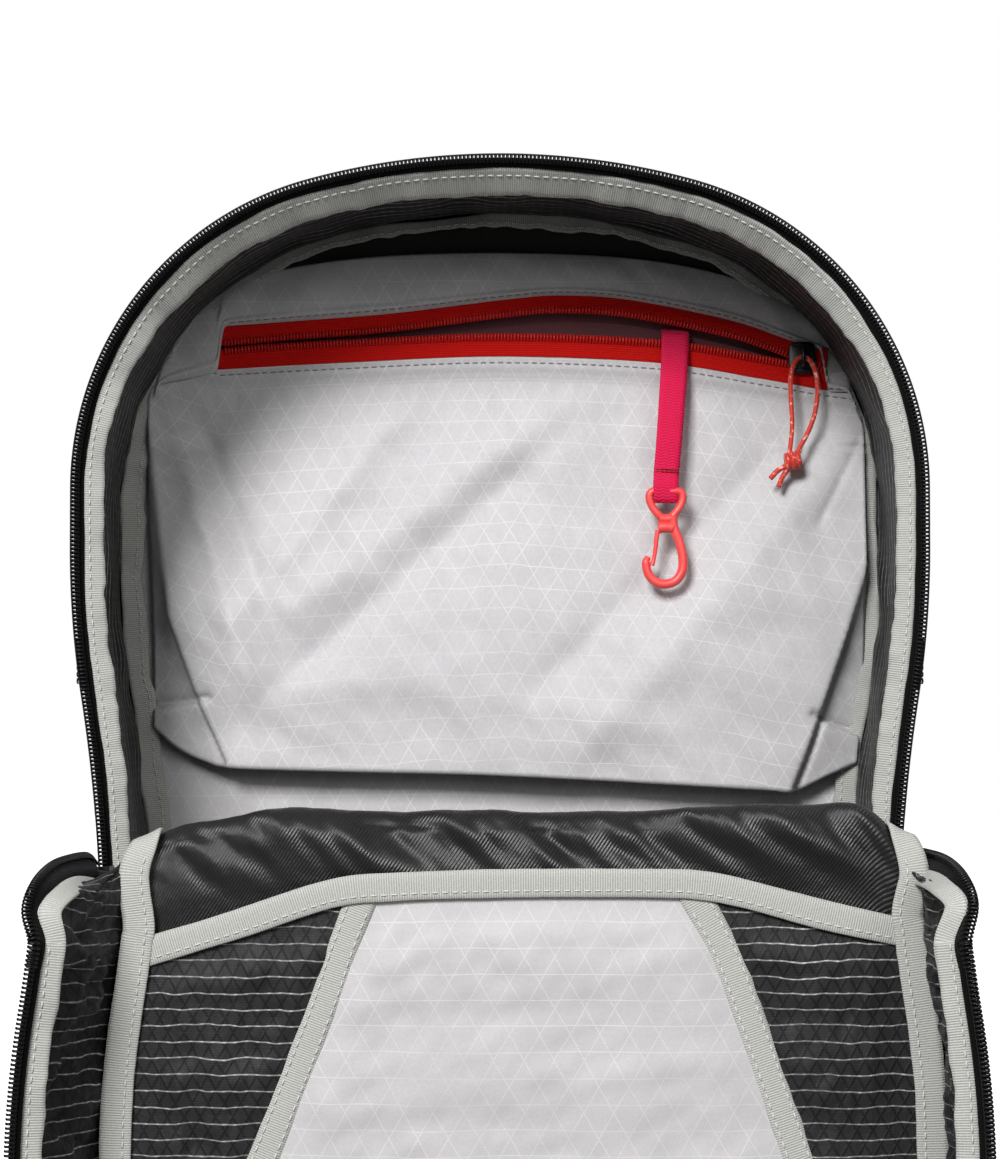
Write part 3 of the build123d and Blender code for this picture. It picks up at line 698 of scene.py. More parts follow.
def moulded(name, base, lighter, rough=(0.28, 0.45), grain=0.02, specular=0.5, metallic=0.0):
    """Moulded plastic or coated metal: faint orange peel and rubbed patches."""
    look = Look(name, base, specular=specular, metallic=metallic, cloth=False)
    rubbed = look.math("MULTIPLY_ADD", look.noise(6, 4), 1.2, -0.5, clamp=True)
    look.paint(look.mix(look.scaled(rubbed, 0.4), base, lighter))
    look.rough(*rough, look.noise(2.5, 3))
    look.relief(look.noise(0.7, 2), grain)
    look.relief(look.noise(5, 2), grain * 2)
    return look.done()


def spun_thread(name, base, dark):
    look = Look(name, base, rough=0.6, specular=0.3, sheen=0.3, cloth=False)
    ply = look.noise(0.35, 2)
    look.paint(look.mix(ply, dark, base))
    look.relief(ply, 0.04)
    return look.done()


def braided_cord(name, base, dark, fleck):
    """Fine round cord with pale flecks in its braid."""
    look = Look(name, base, rough=0.55, specular=0.35, sheen=0.3, cloth=False)
    braid = look.noise(0.8, 2)
    pale = look.math("MULTIPLY_ADD", look.noise(1.5, 1), 7.0, -4.1, clamp=True)
    look.paint(look.mix(look.scaled(pale, 0.8), look.mix(braid, dark, base), fleck))
    look.relief(braid, 0.12)
    return look.done()


def spacer_mesh(name, base, lighter):
    """Padded harness mesh with rows of open cells."""
    look = Look(name, base, rough=0.8, specular=0.2, sheen=0.3, cloth=False)
    pitch = 3.0
    voronoi = look.node("ShaderNodeTexVoronoi", feature="F1")
    move = look.node("ShaderNodeMapping")
    look.link(look.place, move.inputs["Vector"])
    move.inputs["Scale"].default_value = (1 / pitch, 0.5 / pitch, 1 / pitch)
    look.link(move.outputs[0], voronoi.inputs["Vector"])
    voronoi.inputs["Scale"].default_value = 1.0
    voronoi.inputs["Randomness"].default_value = 0.25
    cell = look.math("MULTIPLY", voronoi.outputs["Distance"], 1.8, clamp=True)
    look.paint(look.mix(cell, base, lighter))
    look.relief(cell, 0.7)
    look.relief(look.noise(0.6, 2), 0.08)
    return look.done()


LINING = triangle_lining("lining", rgb(214, 212, 213), rgb(172, 170, 172), rgb(240, 240, 240))
SLEEVE = triangle_lining("sleeve_cloth", rgb(192, 189, 191), rgb(173, 170, 172), rgb(214, 214, 214),
                         line_share=0.7)
GREY_BIND = grosgrain("grey_grosgrain", rgb(202, 203, 197), rgb(128, 128, 124), sheen=0.08)
RIM_CLOTH = ripstop("rim_ripstop", rgb(14, 14, 15), rgb(6, 6, 7), rgb(225, 225, 222), 6.5, across=True,
                    width=0.62)
FLAP_CLOTH = ripstop("flap_ripstop", rgb(34, 34, 36), rgb(9, 9, 10), rgb(228, 228, 225), 5.1, across=False)
SIDE_CLOTH = ripstop("gusset_ripstop", rgb(32, 32, 34), rgb(8, 8, 9), rgb(222, 222, 219), 5.1, across=False)
TWILL = plain_weave("black_twill", rgb(6, 6, 7), rgb(30, 30, 32), 1.0, 0.12, twill=True, rough=(0.32, 0.46),
                    sheen=0.02, crumple=0.8, specular=0.42)
SHELL = plain_weave("shell_fabric", rgb(12, 12, 13), rgb(30, 30, 32), 0.8, 0.10, sheen=0.04)
FACING = plain_weave("dark_facing", rgb(30, 29, 28), rgb(50, 49, 47), 0.7, 0.08, twill=True, sheen=0.04)
BLACK_TAPE = zip_tape("black_tape", rgb(14, 14, 15), rgb(6, 6, 7))
RED_TAPE = zip_tape("red_tape", rgb(236, 30, 22), rgb(168, 12, 10))
BLACK_COIL = moulded("black_coil", rgb(8, 8, 9), rgb(30, 30, 32), rough=(0.3, 0.45), specular=0.25)
RED_COIL = moulded("red_coil", rgb(200, 28, 20), rgb(230, 90, 80), rough=(0.3, 0.45))
# Dark reddish cloth for the sheet behind the open pocket mouth: painted shade standing in for the pocket's
# inside.
POCKET_MOUTH_SHADE = plain_weave("pocket_mouth_painted_shade", rgb(84, 46, 50), rgb(104, 62, 66), 0.7, 0.06, sheen=0.02)
PINK_WEB = webbing("pink_webbing", rgb(236, 22, 88), rgb(176, 8, 50), 1.1, sheen=0.05)
CORAL_CORD = braided_cord("coral_cord", rgb(226, 66, 48), rgb(170, 34, 24), rgb(250, 205, 190))
CORAL_PLASTIC = moulded("coral_plastic", rgb(236, 72, 70), rgb(248, 130, 122), rough=(0.3, 0.42), grain=0.01)
BLACK_PLASTIC = moulded("black_plastic", rgb(22, 22, 23), rgb(58, 58, 60), rough=(0.35, 0.55))
BLACK_METAL = moulded("black_metal", rgb(30, 30, 32), rgb(120, 120, 122), rough=(0.3, 0.45), metallic=0.6)
ALUMINIUM = moulded("aluminium", rgb(178, 180, 184), rgb(210, 212, 214), rough=(0.3, 0.5), metallic=1.0)
STIFF_SHEET = moulded("stiff_sheet", rgb(40, 40, 42), rgb(70, 70, 72), rough=(0.5, 0.7))
MESH_PAD = spacer_mesh("harness_mesh", rgb(8, 8, 9), rgb(40, 40, 43))
PAD_CLOTH = plain_weave("pad_cloth", rgb(16, 16, 17), rgb(38, 38, 41), 1.0, 0.14, cloth=False, sheen=0.05)
BLACK_WEB = webbing("black_webbing", rgb(26, 26, 28), rgb(9, 9, 10), 1.3, rough=0.7, sheen=0.04)
BLACK_BIND = grosgrain("black_grosgrain", rgb(30, 30, 32), rgb(10, 10, 11), 0.9, sheen=0.04)
GREY_THREAD = spun_thread("grey_thread", rgb(150, 149, 146), rgb(112, 111, 108))
PALE_THREAD = spun_thread("pale_thread", rgb(214, 213, 210), rgb(170, 169, 166))
BLACK_THREAD = spun_thread("black_thread", rgb(44, 44, 46), rgb(20, 20, 21))
RED_THREAD = spun_thread("red_thread", rgb(190, 24, 40), rgb(130, 10, 24))


# ------------------------------------------------------------------ the cord on the pocket slider
SLIDER_LOW, SLIDER_HIGH = box("pocket_slider")
SLIDER_X = (SLIDER_LOW[0] + SLIDER_HIGH[0]) / 2
SLIDER_Z = (SLIDER_LOW[2] + SLIDER_HIGH[2]) / 2
POCKET_Y = box("pocket_zipper")[1][1] - 1.0
KNOT = np.array((SLIDER_X - 4.5, POCKET_Y - 11.6, SLIDER_Z - 40))
RIGHT_LEG = [(2, -5.4, 0), (5, -8.4, -6), (5.2, -10.6, -16), (2.4, -11.4, -28), (-3.2, -11.6, -37)]
LEFT_LEG = [(-2, -5.4, 0), (-5, -8.4, -6), (-5.2, -10.6, -16), (-4.4, -11.4, -28), (-5.8, -11.6, -37)]
CORD_POINTS = np.array(LEFT_LEG[::-1] + RIGHT_LEG) + (SLIDER_X, POCKET_Y, SLIDER_Z)


def nurbs(name, points, radius):
    curve = bpy.data.curves.new(name, "CURVE")
    curve.dimensions = "3D"
    spline = curve.splines.new("NURBS")
    spline.points.add(len(points) - 1)
    for spot, point in zip(spline.points, points):
        spot.co = (*(np.asarray(point) * MM), 1.0)
    spline.order_u = 3
    spline.use_endpoint_u = True
    spline.resolution_u = 16
    curve.bevel_depth = radius * MM
    curve.bevel_resolution = 4
    obj = bpy.data.objects.new(name, curve)
    bpy.context.scene.collection.objects.link(obj)
    return obj


def pull_cord():
    cord = nurbs("pull_cord", CORD_POINTS, 0.9)
    cord.data.materials.append(CORAL_CORD)
    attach(cord, "pocket_pull")
    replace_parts(cord, "pocket_pull_cord")

    # An overhand knot: a few turns of the cord round itself, then two tails.
    turn = np.linspace(0, 2 * pi, 60)
    parts = []
    for shift, size, lean in ((-1.9, 2.3, 0.5), (0.0, 2.6, 0.2), (1.9, 2.3, -0.2)):
        ring = np.stack([shift + 0.5 * np.sin(turn), size * np.cos(turn), size * np.sin(turn) + lean], 1)
        parts.append(tube_mesh(ring, 1.15, 12))
    tails = [[(-1, 0.3, 0.4), (-4, -0.6, -0.6), (-7.2, -0.9, -1.1), (-10.6, -0.6, -2.6)],
             [(-0.6, -0.6, -0.8), (-3.6, 0.4, -2.4), (-6.3, 0.6, -4.1), (-8.8, 0.4, -6.6)],
             [(0, 0, 0), (1.6, 0.2, 1.0), (3.0, 0.2, 2.0), (4.4, 0.1, 3.2)]]
    for tail in tails:
        parts.append(tube_mesh(smooth_path(tail, 24), 0.98, 12))
    points, faces = merged(parts)
    tilt = radians(24)
    x, z = points[:, 0].copy(), points[:, 2].copy()
    points[:, 0], points[:, 2] = x * cos(tilt) - z * sin(tilt), x * sin(tilt) + z * cos(tilt)
    knot = new_object("pull_knot", points + KNOT, faces, CORAL_CORD, closed=True)
    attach(knot, "pocket_pull")
    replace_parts(knot, "pocket_pull_knot")


pull_cord()


# ------------------------------------------------------------------ shell of the pack
LOW_S, HIGH_S = s_at(50, 1), s_at(50, -1)


def top_share(s):
    """0 on the sides, 1 over the arch."""
    return smooth((height_at(s) - 430) / 70)


def side_of(s):
    return np.where(s < TOTAL_S / 2, 1.0, -1.0)


def shell():
    s = np.linspace(0, TOTAL_S, 760)
    rings = []
    depths = [TAPE_REAR_Y, -12, -4, 8, 22, 36, 50, 64, 76, BACK_Y - 0.3]
    for y in depths:
        swell = 2.2 * sin(pi * (y - TAPE_REAR_Y) / (BACK_Y - TAPE_REAR_Y))
        z = height_at(s)
        ripple = (0.9 * wave_noise(s, y + 0 * s, 11, 70) * smooth((y - TAPE_REAR_Y) / 20)
                  * smooth((BACK_Y - y) / 20))
        calm = smooth((z - 20) / 40)
        rings.append(ring_at(s, -(swell + ripple) * calm, y))
    rings += [ring_at(s, 1.5, y) for y in depths[::-1]]
    wall = skin("shell", np.stack(rings, 1)[:-1], SHELL, close=True)
    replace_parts(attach(wall, "pack"), "side_panel_left", "side_panel_right", "top_panel", "base_panel")


def inner_gusset():
    """Ripstop inside the opening, between the two bindings."""
    s = np.linspace(s_at(120, 1), s_at(120, -1), 560)
    y = np.array([-21, -14, -4, 8, 20, 32, 44, 56, 66, 75.0])
    inset = 2.8 + 1.3 * wave_noise(s[:, None], y[None], 5, 42) + 0.8 * np.sin(np.pi * (y + 21) / 96)[None]
    inset = np.maximum(inset, 2.3)
    x, z = on_outline(s[:, None], inset)
    sheet = skin("inner_gusset", np.stack([x, y[None] + 0 * x, z], 2), RIM_CLOTH, thickness=0.5, subdivide=1)
    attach(sheet, "pack")


COIL_PITCH, COIL_WIRE, COIL_SLANT, TOOTH_LENGTH = 1.35, 0.36, 0.25, 3.3
TOOTH_PATH = [(3.3, -1.25), (1.4, -1.35), (0.75, -1.1), (0.5, -0.4), (0.5, 0.4), (0.75, 1.1), (1.4, 1.35),
              (3.3, 1.25)]


def teeth(s, y_mid, fold=False):
    """Coil loops along the outline: each is a hairpin with its head at the edge."""
    spots = np.arange(s[0] + COIL_PITCH / 2, s[-1], COIL_PITCH)
    x, z = on_outline(spots, 0.0)
    nx, nz = np.interp(spots, OUT_S, OUT_N[:, 0]), np.interp(spots, OUT_S, OUT_N[:, 1])
    origin = np.stack([x, np.full_like(x, y_mid), z], 1)
    inward = unit(np.stack([nx, 0 * nx, nz], 1))
    depth = np.tile((0.0, 1.0, 0.0), (len(spots), 1))
    along = np.cross(depth, inward)
    hairpin = [(i, d, COIL_SLANT * np.sign(d) * (1 - i / TOOTH_LENGTH)) for i, d in TOOTH_PATH]
    points, faces = tube_mesh(hairpin, COIL_WIRE, 6)
    points, faces = copies(points, faces, origin, inward, depth, along)
    return (folded(points) if fold else points), faces


def rim_zip():
    s = np.linspace(LOW_S, HIGH_S, 900)
    coil = new_object("rim_coil", *teeth(s, PACK_COIL_Y), BLACK_COIL)
    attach(coil, "pack")
    edge = new_object("rim_coil_edge", *tube_mesh(ring_at(s, 0.42, PACK_COIL_Y), 0.34, 6), BLACK_COIL)
    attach(edge, "pack")
    core = new_object("rim_coil_cord", *tube_mesh(ring_at(s, 2.4, PACK_COIL_Y), 0.85, 8), BLACK_TAPE)
    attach(core, "pack")
    ripple = 0.25 * line_noise(s, 3, 30)
    tape = skin("rim_tape", band(s, 1.7 + ripple, 4.6 + ripple, RIM_COIL_Y + 3.0, RIM_COIL_Y + 3.8, 0.8, 4),
                BLACK_TAPE, close=True)
    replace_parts(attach(tape, "pack"), "rim_zipper")
    wall = np.stack([ring_at(s, 1.9 + ripple, RIM_COIL_Y + 3.2), ring_at(s, 1.9 + ripple, -22),
                     ring_at(s, 1.6, TAPE_REAR_Y + 1)], 1)
    side = skin("rim_tape_side", wall, BLACK_TAPE, thickness=0.8)
    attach(side, "pack")


def ring_binding(name, s, outer, inner, y_outer, y_inner, thick, node, stitch_at=0.3, fold=False,
                 body="pack"):
    """A grosgrain binding round the outline, with its line of stitches."""
    columns = 7
    points = band(s, outer, inner, y_outer, y_inner, thick, columns)
    if fold:
        points = folded(points)
    obj = skin(name, points, GREY_BIND, close=True)
    if node:
        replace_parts(obj, node)
    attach(obj, body)
    share = stitch_at * (columns - 1)
    low = int(share)
    path = points[:, low] + (points[:, low + 1] - points[:, low]) * (share - low)
    toward = (0, -1, 0)
    stitches(name + "_stitches", [(path + np.array(toward) * 0.16, toward)], PALE_THREAD, body)


def body_bindings():
    s = np.linspace(s_at(236, 1), s_at(236, -1), 900)
    top = top_share(s)
    wavy = 0.55 * line_noise(s, 8, 34) + 0.3 * line_noise(s, 21, 12)
    ring_binding("rim_binding_band", s, 4.5, 11.0 + 0.8 * top + wavy, -24.6 + 0.25 * line_noise(s, 9, 25),
                 -22.2 + 8.0 * top + 0.9 * line_noise(s, 4, 28), 1.0, "rim_binding")
    s = np.linspace(s_at(112, 1), s_at(112, -1), 900)
    z = height_at(s)
    pinch = np.where(side_of(s) > 0, smooth((z - 380) / 15) * smooth((435 - z) / 15), 0)
    wavy = 0.8 * line_noise(s, 17, 30) + 0.35 * line_noise(s, 5, 11) + pinch * 2.2 * np.sin(s / 2.6)
    ring_binding("rear_seam_band", s, 2.6 + 1.2 * line_noise(s, 31, 60), 11.6 - 3.6 * top_share(s) + wavy,
                 74.6 + 0.8 * line_noise(s, 2, 26),
                 75.6 + 1.1 * line_noise(s, 6, 33) - 1.5 * pinch - 3.0 * top_share(s), 1.1,
                 "rear_seam_binding", stitch_at=0.72)


def back_wall():
    """Lining that covers the back panel, and the dark facing above it."""
    share = np.linspace(0, 1, 200)
    rows = []
    for t in share:
        z = 52 + (516 - 52) * t
        half = half_width_at(z) - 2.2
        xs = np.linspace(-half, half, 150)
        y = 79.4 + 0.7 * wave_noise(xs, z + 0 * xs, 41, 70) * smooth((half - np.abs(xs)) / 12)
        rows.append(np.stack([xs, y, z + 0 * xs], 1))
    rows = np.array(rows)
    uv = flat_uv(rows)
    cut = int(0.80 * 200)
    lining = skin("back_lining_cloth", rows[:cut + 1], LINING, uv=uv[:cut + 1], thickness=0.8)
    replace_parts(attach(lining, "pack"), "back_lining")
    facing = skin("back_facing", rows[cut:], FACING, uv=uv[cut:], thickness=0.8)
    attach(facing, "pack")


def half_width_at(z):
    """Half the outline's width at a height."""
    order = np.argsort(RIGHT[40:, 1], kind="stable")
    return np.interp(z, RIGHT[40:, 1][order], RIGHT[40:, 0][order])


# ------------------------------------------------------------------ zip pocket
def edge_at(x, points):
    """Height at x of a smooth edge through (x, z) points."""
    return np.interp(x, *zip(*smooth_edge(points)))


def tape_top(x):
    """Upper edge of the red zipper, which arches over the open mouth."""
    return edge_at(x, ((-106, 475.2), (-72, 477.6), (-40, 480.2), (4, 485.6), (24, 487.0), (50, 485.2),
                                           (88, 477.4), (111, 469.6), (123, 466.2)))


def tape_bottom(x):
    return edge_at(x, ((-106, 457.6), (-60, 460.2), (0, 462.6), (60, 460.2), (100, 454.0),
                                           (123, 449.8)))


def smooth_edge(points):
    return smooth_path([(x, 0, z) for x, z in points], 90)[:, [0, 2]].tolist()


def mouth_top(x):
    """Lip of the upper tape: meets the lower one at the left end."""
    return tape_top(x) - 8.6 + 0.6 * smooth((x + 106) / 30)


def mouth_bottom(x):
    closed = smooth((-40 - x) / 60)
    return np.minimum(tape_bottom(x) + 8.4, mouth_top(x) - 0.9 * closed - 0.2)


def pocket_zip():
    x = np.linspace(-107.5, 124.5, 190)
    parts = []
    for name, edge, lip, out in (("pocket_tape_top", tape_top, mouth_top, 1),
                                 ("pocket_tape_bottom", tape_bottom, mouth_bottom, -1)):
        rows = []
        gape = smooth((x + 60) / 70) * smooth((122 - x) / 26)
        for t in np.linspace(0, 1, 8):
            z = edge(x) + (lip(x) - edge(x)) * t
            lean = (1.6 if out > 0 else -0.8) * gape * t * t
            y = POCKET_Y + 0.2 - sin(pi * t) * 0.4 - lean * out + 0.3 * line_noise(x, 13, 40)
            rows.append(np.stack([x, y, z], 1))
        rows = np.array(rows).transpose(1, 0, 2)
        obj = skin(name, rows, RED_TAPE, thickness=0.7, subdivide=1)
        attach(obj, "pack")
        parts.append(obj)
        *_, origins, along = walk(rows[2:-2, -1], 1.25)
        y_axis = np.tile((0.0, -1.0, 0.0), (len(origins), 1))
        cross = unit(np.cross(y_axis, along)) * -out
        profile = ((3.0, -0.75), (1.3, -0.8), (0.6, -0.55), (0.45, 0.0), (0.6, 0.55), (1.3, 0.8), (3.0, 0.75))
        hairpin = [(a - 0.6, d, 0.22 * np.sign(d)) for a, d in profile]
        points, faces = tube_mesh(hairpin, 0.30, 6)
        inward = -cross
        probe = (rows[0, 0] - rows[0, -1])
        inward = np.where((inward * probe).sum(1, keepdims=True) > 0, inward, -inward)
        coil = new_object(name.replace("tape", "coil"),
                          *copies(points, faces, origins + y_axis * 0.75, inward, y_axis, along), RED_COIL)
        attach(coil, "pack")
    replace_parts(parts[0], "pocket_zipper")

    # A dark reddish sheet just behind the open mouth: painted shade standing in for the inside of the pocket.
    rows = []
    for t in np.linspace(0, 1, 10):
        z = mouth_bottom(x) - 6 + (mouth_top(x) + 6 - mouth_bottom(x) + 6) * t
        rows.append(np.stack([x, POCKET_Y + 3.0 + 2.0 * sin(pi * t) + 0 * x, z], 1))
    inside = skin("pocket_mouth_shade_sheet", np.array(rows).transpose(1, 0, 2), POCKET_MOUTH_SHADE, thickness=0.6)
    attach(inside, "pack")


def upper_lining():
    """Lining above the zipper, stitched along the tape in one line of stitches and turned under at its top
    edge.
    """
    outline = smooth_edge(((-131, 448), (-127.5, 465), (-120, 476), (-104, 488.5), (-85, 496), (-50, 501.2),
                           (-2, 502.8), (50, 500.6), (84, 494.6), (104, 486.5), (122, 474), (131, 462),
                           (134, 445)))
    ox, oz = zip(*outline)
    x = np.linspace(-131, 134, 200)
    top = np.interp(x, ox, oz)
    low = (tape_top(np.clip(x, -106, 123)) - 1.2 - 17.5 * smooth((-105.4 - x) / 1.6)
           - 16 * smooth((x - 122) / 2.5))
    low = low - np.where(x < -107, (-107 - x) * 0.2, 0)
    low = np.minimum(low, top - 1)
    rows = []
    for t in np.linspace(0, 1, 34):
        z = low + (top - low) * t
        swell = 3.0 * np.sin(np.pi * t) ** 0.8 * smooth((132 - np.abs(x)) / 25)
        y = 72.6 + 2.6 * t - swell + 1.3 * wave_noise(x, z, 51, 46) * sin(pi * t)
        y = y - 1.2 * np.exp(-((t - 0.1) / 0.05)**2) + (4.0 if t > 0.99 else 0)
        rows.append(np.stack([x, y, z], 1))
    rows = np.array(rows).transpose(1, 0, 2)
    panel = skin("pocket_upper_cloth", rows, LINING, uv=flat_uv(rows), thickness=0.7,
                 subdivide=1)
    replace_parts(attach(panel, "pack"), "pocket_upper_panel")
    inside = (x > -104) & (x < 130)
    line = rows[inside, 2] + (0, -0.55, 0)
    stitches("pocket_upper_stitches", [(line, (0, -1, 0))], GREY_THREAD, "pack")


BAG_LEFT, BAG_RIGHT = -134.0, 138.0
# Folds of the pocket's front: start and end (x, z), half width and height
BAG_FOLDS = (
    ((-48, 428), (-92, 372), 10, 3.0), ((14, 436), (-70, 372), 13, 3.0), ((0, 412), (-74, 346), 10, -2.8),
    ((118, 412), (46, 330), 14, 3.2), ((96, 418), (30, 352), 10, -2.6), ((40, 440), (52, 360), 14, -1.2),
)
BAG_CORNER_FOLDS = (((-118, 420), (-96, 345), 7, 2.4), ((-108, 424), (-84, 356), 6, -2.2))


def bag_front(x, z):
    """Depth of the pocket's front below the zipper: how far it stands off the back wall."""
    left = np.interp(z, (299, 309, 333, 363, 408, 440, 470), (-101, -102, -113, -124, -130, -134, -136))
    right = np.interp(z, (299, 309, 348, 386, 420, 470), (109, 113, 127, 139, 140, 140))
    drop = np.clip((458 - z) / 155, 0, 1)
    full = 3.5 + 13.0 * smooth(drop * 1.25) ** 0.9
    near = []
    for inside, span in ((x + 135.5, left + 135.5), (142.5 - x, 142.5 - right)):
        ramp = np.clip(inside / span, 0, 1.4)
        step = 0.58 * ramp + 0.44 * smooth((inside - span + 1.6) / 1.8)
        fade = smooth((384 - z) / 30)
        near.append(ramp * (1 - fade) + step * fade)
    crest = -0.025 * np.log(np.exp(-near[0] / 0.025) + np.exp(-near[1] / 0.025) + np.exp(-1 / 0.025))
    depth = 1.2 + full * np.clip(crest, 0, 1)
    f = 0.0
    for fold in BAG_FOLDS:
        f += crease(x, z, *fold, fade=0.5)
    for fold in BAG_CORNER_FOLDS:
        f += crease(x, z, *fold, fade=0.4)
    f += crease(x, z, (-60, 340), (60, 322), 12, 1.4, fade=0.5)
    for k, (end_x, end_z) in enumerate(((116, 428), (112, 434), (108, 440), (122, 420))):
        f += crease(x, z, (137, 426 + 2 * k), (end_x, end_z - 6 * k), 2.2, 1.1 * (-1)**k, fade=0.3)
    for k, (end_x, end_z) in enumerate(((-112, 436), (-108, 428), (-112, 416))):
        f += crease(x, z, (-134, 430 - 6 * k), (end_x, end_z), 2.4, 0.9 * (-1)**k, fade=0.3)
    f += 1.3 * wave_noise(x + 0.5 * z, z, 71, 64) + 0.3 * wave_noise(x + 0.7 * z, z * 0.7, 72, 24)
    f += 0.9 * wave_noise(x, z * 0.25, 73, 10) * smooth((z - 440) / 12)
    pleat_z = 329.5 + (x + 131) * 0.165
    tongue = smooth((pleat_z - z) / 1.6) * smooth((left + 1 - x) / 4)
    f += 3.2 * tongue + crease(x, z, (-136, 329.5), (-110, 333.2), 1.5, -2.6, fade=0.12)
    pleat_z = 324.8 - (x - 122.8) * 0.4
    tongue = smooth((pleat_z - z) / 1.6) * smooth((x - right - 1) / 4)
    f += 3.0 * tongue + crease(x, z, (118, 326.6), (142, 317), 1.5, -2.6, fade=0.12)
    return depth + f * smooth((drop - 0.02) * 8)


def bag_hem(x):
    """Height of the fold at the pocket's bottom edge."""
    return edge_at(x, ((-137, 326), (-131, 321.6), (-121, 313.6), (-110, 308.8), (-100, 306.8), (-60, 305.6),
                       (-3, 304.2), (60, 301.0), (100, 298.6), (111, 298.2), (124, 304.0), (139, 309.8),
                       (143, 311)))


def pocket_bag():
    x = np.linspace(-1, 1, 250)
    rows = []
    for t in np.linspace(0, 1, 150):
        left = BAG_LEFT + 3 * smooth(t)
        xs = left + (BAG_RIGHT - left) * (x + 1) / 2
        top = tape_bottom(np.clip(xs, -106, 123)) + 0.8
        top = top + np.where(xs < -106, (-106 - xs) * 0.35, 0) - np.where(xs > 123, (xs - 123) * 0.15, 0)
        low = bag_hem(xs) + 1.5
        z = top + (low - top) * t
        y = LINING_BACK_Y - bag_front(xs, z)
        half = half_width_at(z) - 5.0
        xs = np.clip(xs, -half, half)
        y = np.where(t < 0.06, np.minimum(y, 73.8), y)
        y = y - 1.0 * np.exp(-((t - 0.028) / 0.012)**2)
        rows.append(np.stack([xs, y, z], 1))
    front_y, xs = rows[-1][:, 1], rows[-1][:, 0]
    low = bag_hem(xs)
    deep = np.clip((78.5 - front_y), 1.5, 30)
    r = np.minimum(1.5, deep * 0.45)
    for angle in np.linspace(12, 168, 11):
        a = radians(angle)
        rows.append(np.stack([xs, front_y + r * (1 - cos(a)), low + 1.5 - r * sin(a)], 1))
    for t in np.linspace(0.15, 1, 8):
        y = front_y + 2 * r + (LINING_BACK_Y - front_y - 2 * r) * t
        z = low + 1.7 + 1.5 * t + 0.5 * line_noise(xs, 77, 25)
        rows.append(np.stack([xs, np.minimum(y, 79.2), z], 1))
    rows = np.array(rows)
    run = np.cumsum(np.concatenate([[np.zeros(250)], np.linalg.norm(np.diff(rows, axis=0), axis=2)]), axis=0)
    uv = np.stack([460 - run, rows[..., 0]], 2)
    bag = skin("pocket_bag_cloth", rows, LINING, uv=uv, thickness=0.7)
    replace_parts(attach(bag, "pack"), "pocket_bag")
    stitch = (rows[3, :, 0] > -122) & (rows[5, :, 0] < 136)
    stitches("pocket_lower_stitches", [(rows[3, stitch] + (0, -0.45, 0), (0, -1, 0))], GREY_THREAD, "pack")


def pocket_slider():
    """Bridge, body plates and a wire eyelet, rounded, in place of the plain CAD slider."""
    half_x, half_z = 5.2, 6.1

    def plate(y, thick):
        t = np.linspace(0, 2 * pi, 40, endpoint=False)
        px = half_x * filled_out(np.cos(t), 0.5)
        pz = half_z * filled_out(np.sin(t), 0.5)
        rings = []
        for share, inset in ((0, 0.5), (0.15, 0.12), (0.3, 0), (0.7, 0), (0.85, 0.12), (1, 0.5)):
            rings.append(np.stack([px * (1 - inset / half_x), np.full_like(px, y + thick * share),
                                   pz * (1 - inset / half_z)], 1))
        return np.array(rings)
    parts = []
    for y, thick in ((-3.7, 1.5), (1.2, 1.4)):
        rings = plate(y, thick)
        n = rings.shape[1]
        faces = [(i * n + j, i * n + (j + 1) % n, (i + 1) * n + (j + 1) % n, (i + 1) * n + j)
                 for i in range(5) for j in range(n)]
        faces += [tuple(range(n))[::-1], tuple(range(5 * n, 6 * n))]
        parts.append((rings, faces))
    parts.append(tube_mesh([(3.4, -2.4, 0), (3.6, -1, 0), (3.6, 0.5, 0), (3.4, 1.6, 0)], 0.9, 10))
    t = np.linspace(-0.62 * pi, 0.62 * pi, 26)
    ring = np.stack([0 * t, -5.2 - 2.9 * np.cos(t), 3.4 * np.sin(t)], 1)
    parts.append(tube_mesh(ring, 0.75, 10))
    parts.append(tube_mesh([(-3.8, -3.9, -4.6), (0, -4.15, -4.9), (3.8, -3.9, -4.6)], 0.5, 8))
    parts.append(tube_mesh([(-3.8, -3.9, 4.6), (0, -4.15, 4.9), (3.8, -3.9, 4.6)], 0.5, 8))
    points, faces = merged(parts)
    points = points + (SLIDER_X, POCKET_Y, SLIDER_Z)
    slider = new_object("zip_slider", points, faces, BLACK_METAL, closed=True)
    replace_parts(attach(slider, "pocket_slide"), "pocket_slider")


def leash():
    low, high = box("key_leash")
    x, y, bottom = (low[0] + high[0]) / 2, low[1] + 3.1, low[2] + 3.1
    mouth = float(mouth_bottom(np.array([x]))[0])
    path = [(x + 4.6, 77.5, mouth + 5), (x + 4.5, 73.6, mouth + 3.6), (x + 4.4, 69.5, mouth + 1.6),
            (x + 4.2, 68.6, mouth - 4), (x + 3.7, 66.3, mouth - 12), (x + 2.8, 62.6, mouth - 22),
            (x + 1.4, y + 1.5, mouth - 38), (x + 0.2, y + 0.2, bottom + 8), (x, y - 1.2, bottom + 3.0),
            (x, y - 0.6, bottom - 2.3), (x, y + 1.9, bottom - 2.2), (x, y + 2.6, bottom + 1.6),
            (x, y + 1.7, bottom + 6), (x + 0.1, y + 1.5, bottom + 10)]
    path = smooth_path(path, 130)
    across = np.stack([np.ones(130), 0.16 * np.sin(np.linspace(0, 3, 130)), 0 * path[:, 0]], 1)
    web = loft("leash_web", path, across, 10.6 - 1.5 * np.linspace(0, 1, 130), 1.0, PINK_WEB)
    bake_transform(web)
    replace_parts(web, "key_leash")
    tack = []
    for row in range(2):
        z = bottom + 9.4 - 0.9 * row
        tack.append(([(x - 4.2, y - 0.75, z), (x + 4.2, y - 0.75, z)], (0, -1, 0)))
    stitches("leash_tack", tack, RED_THREAD, "leash", pitch=1.7, size=0.8)


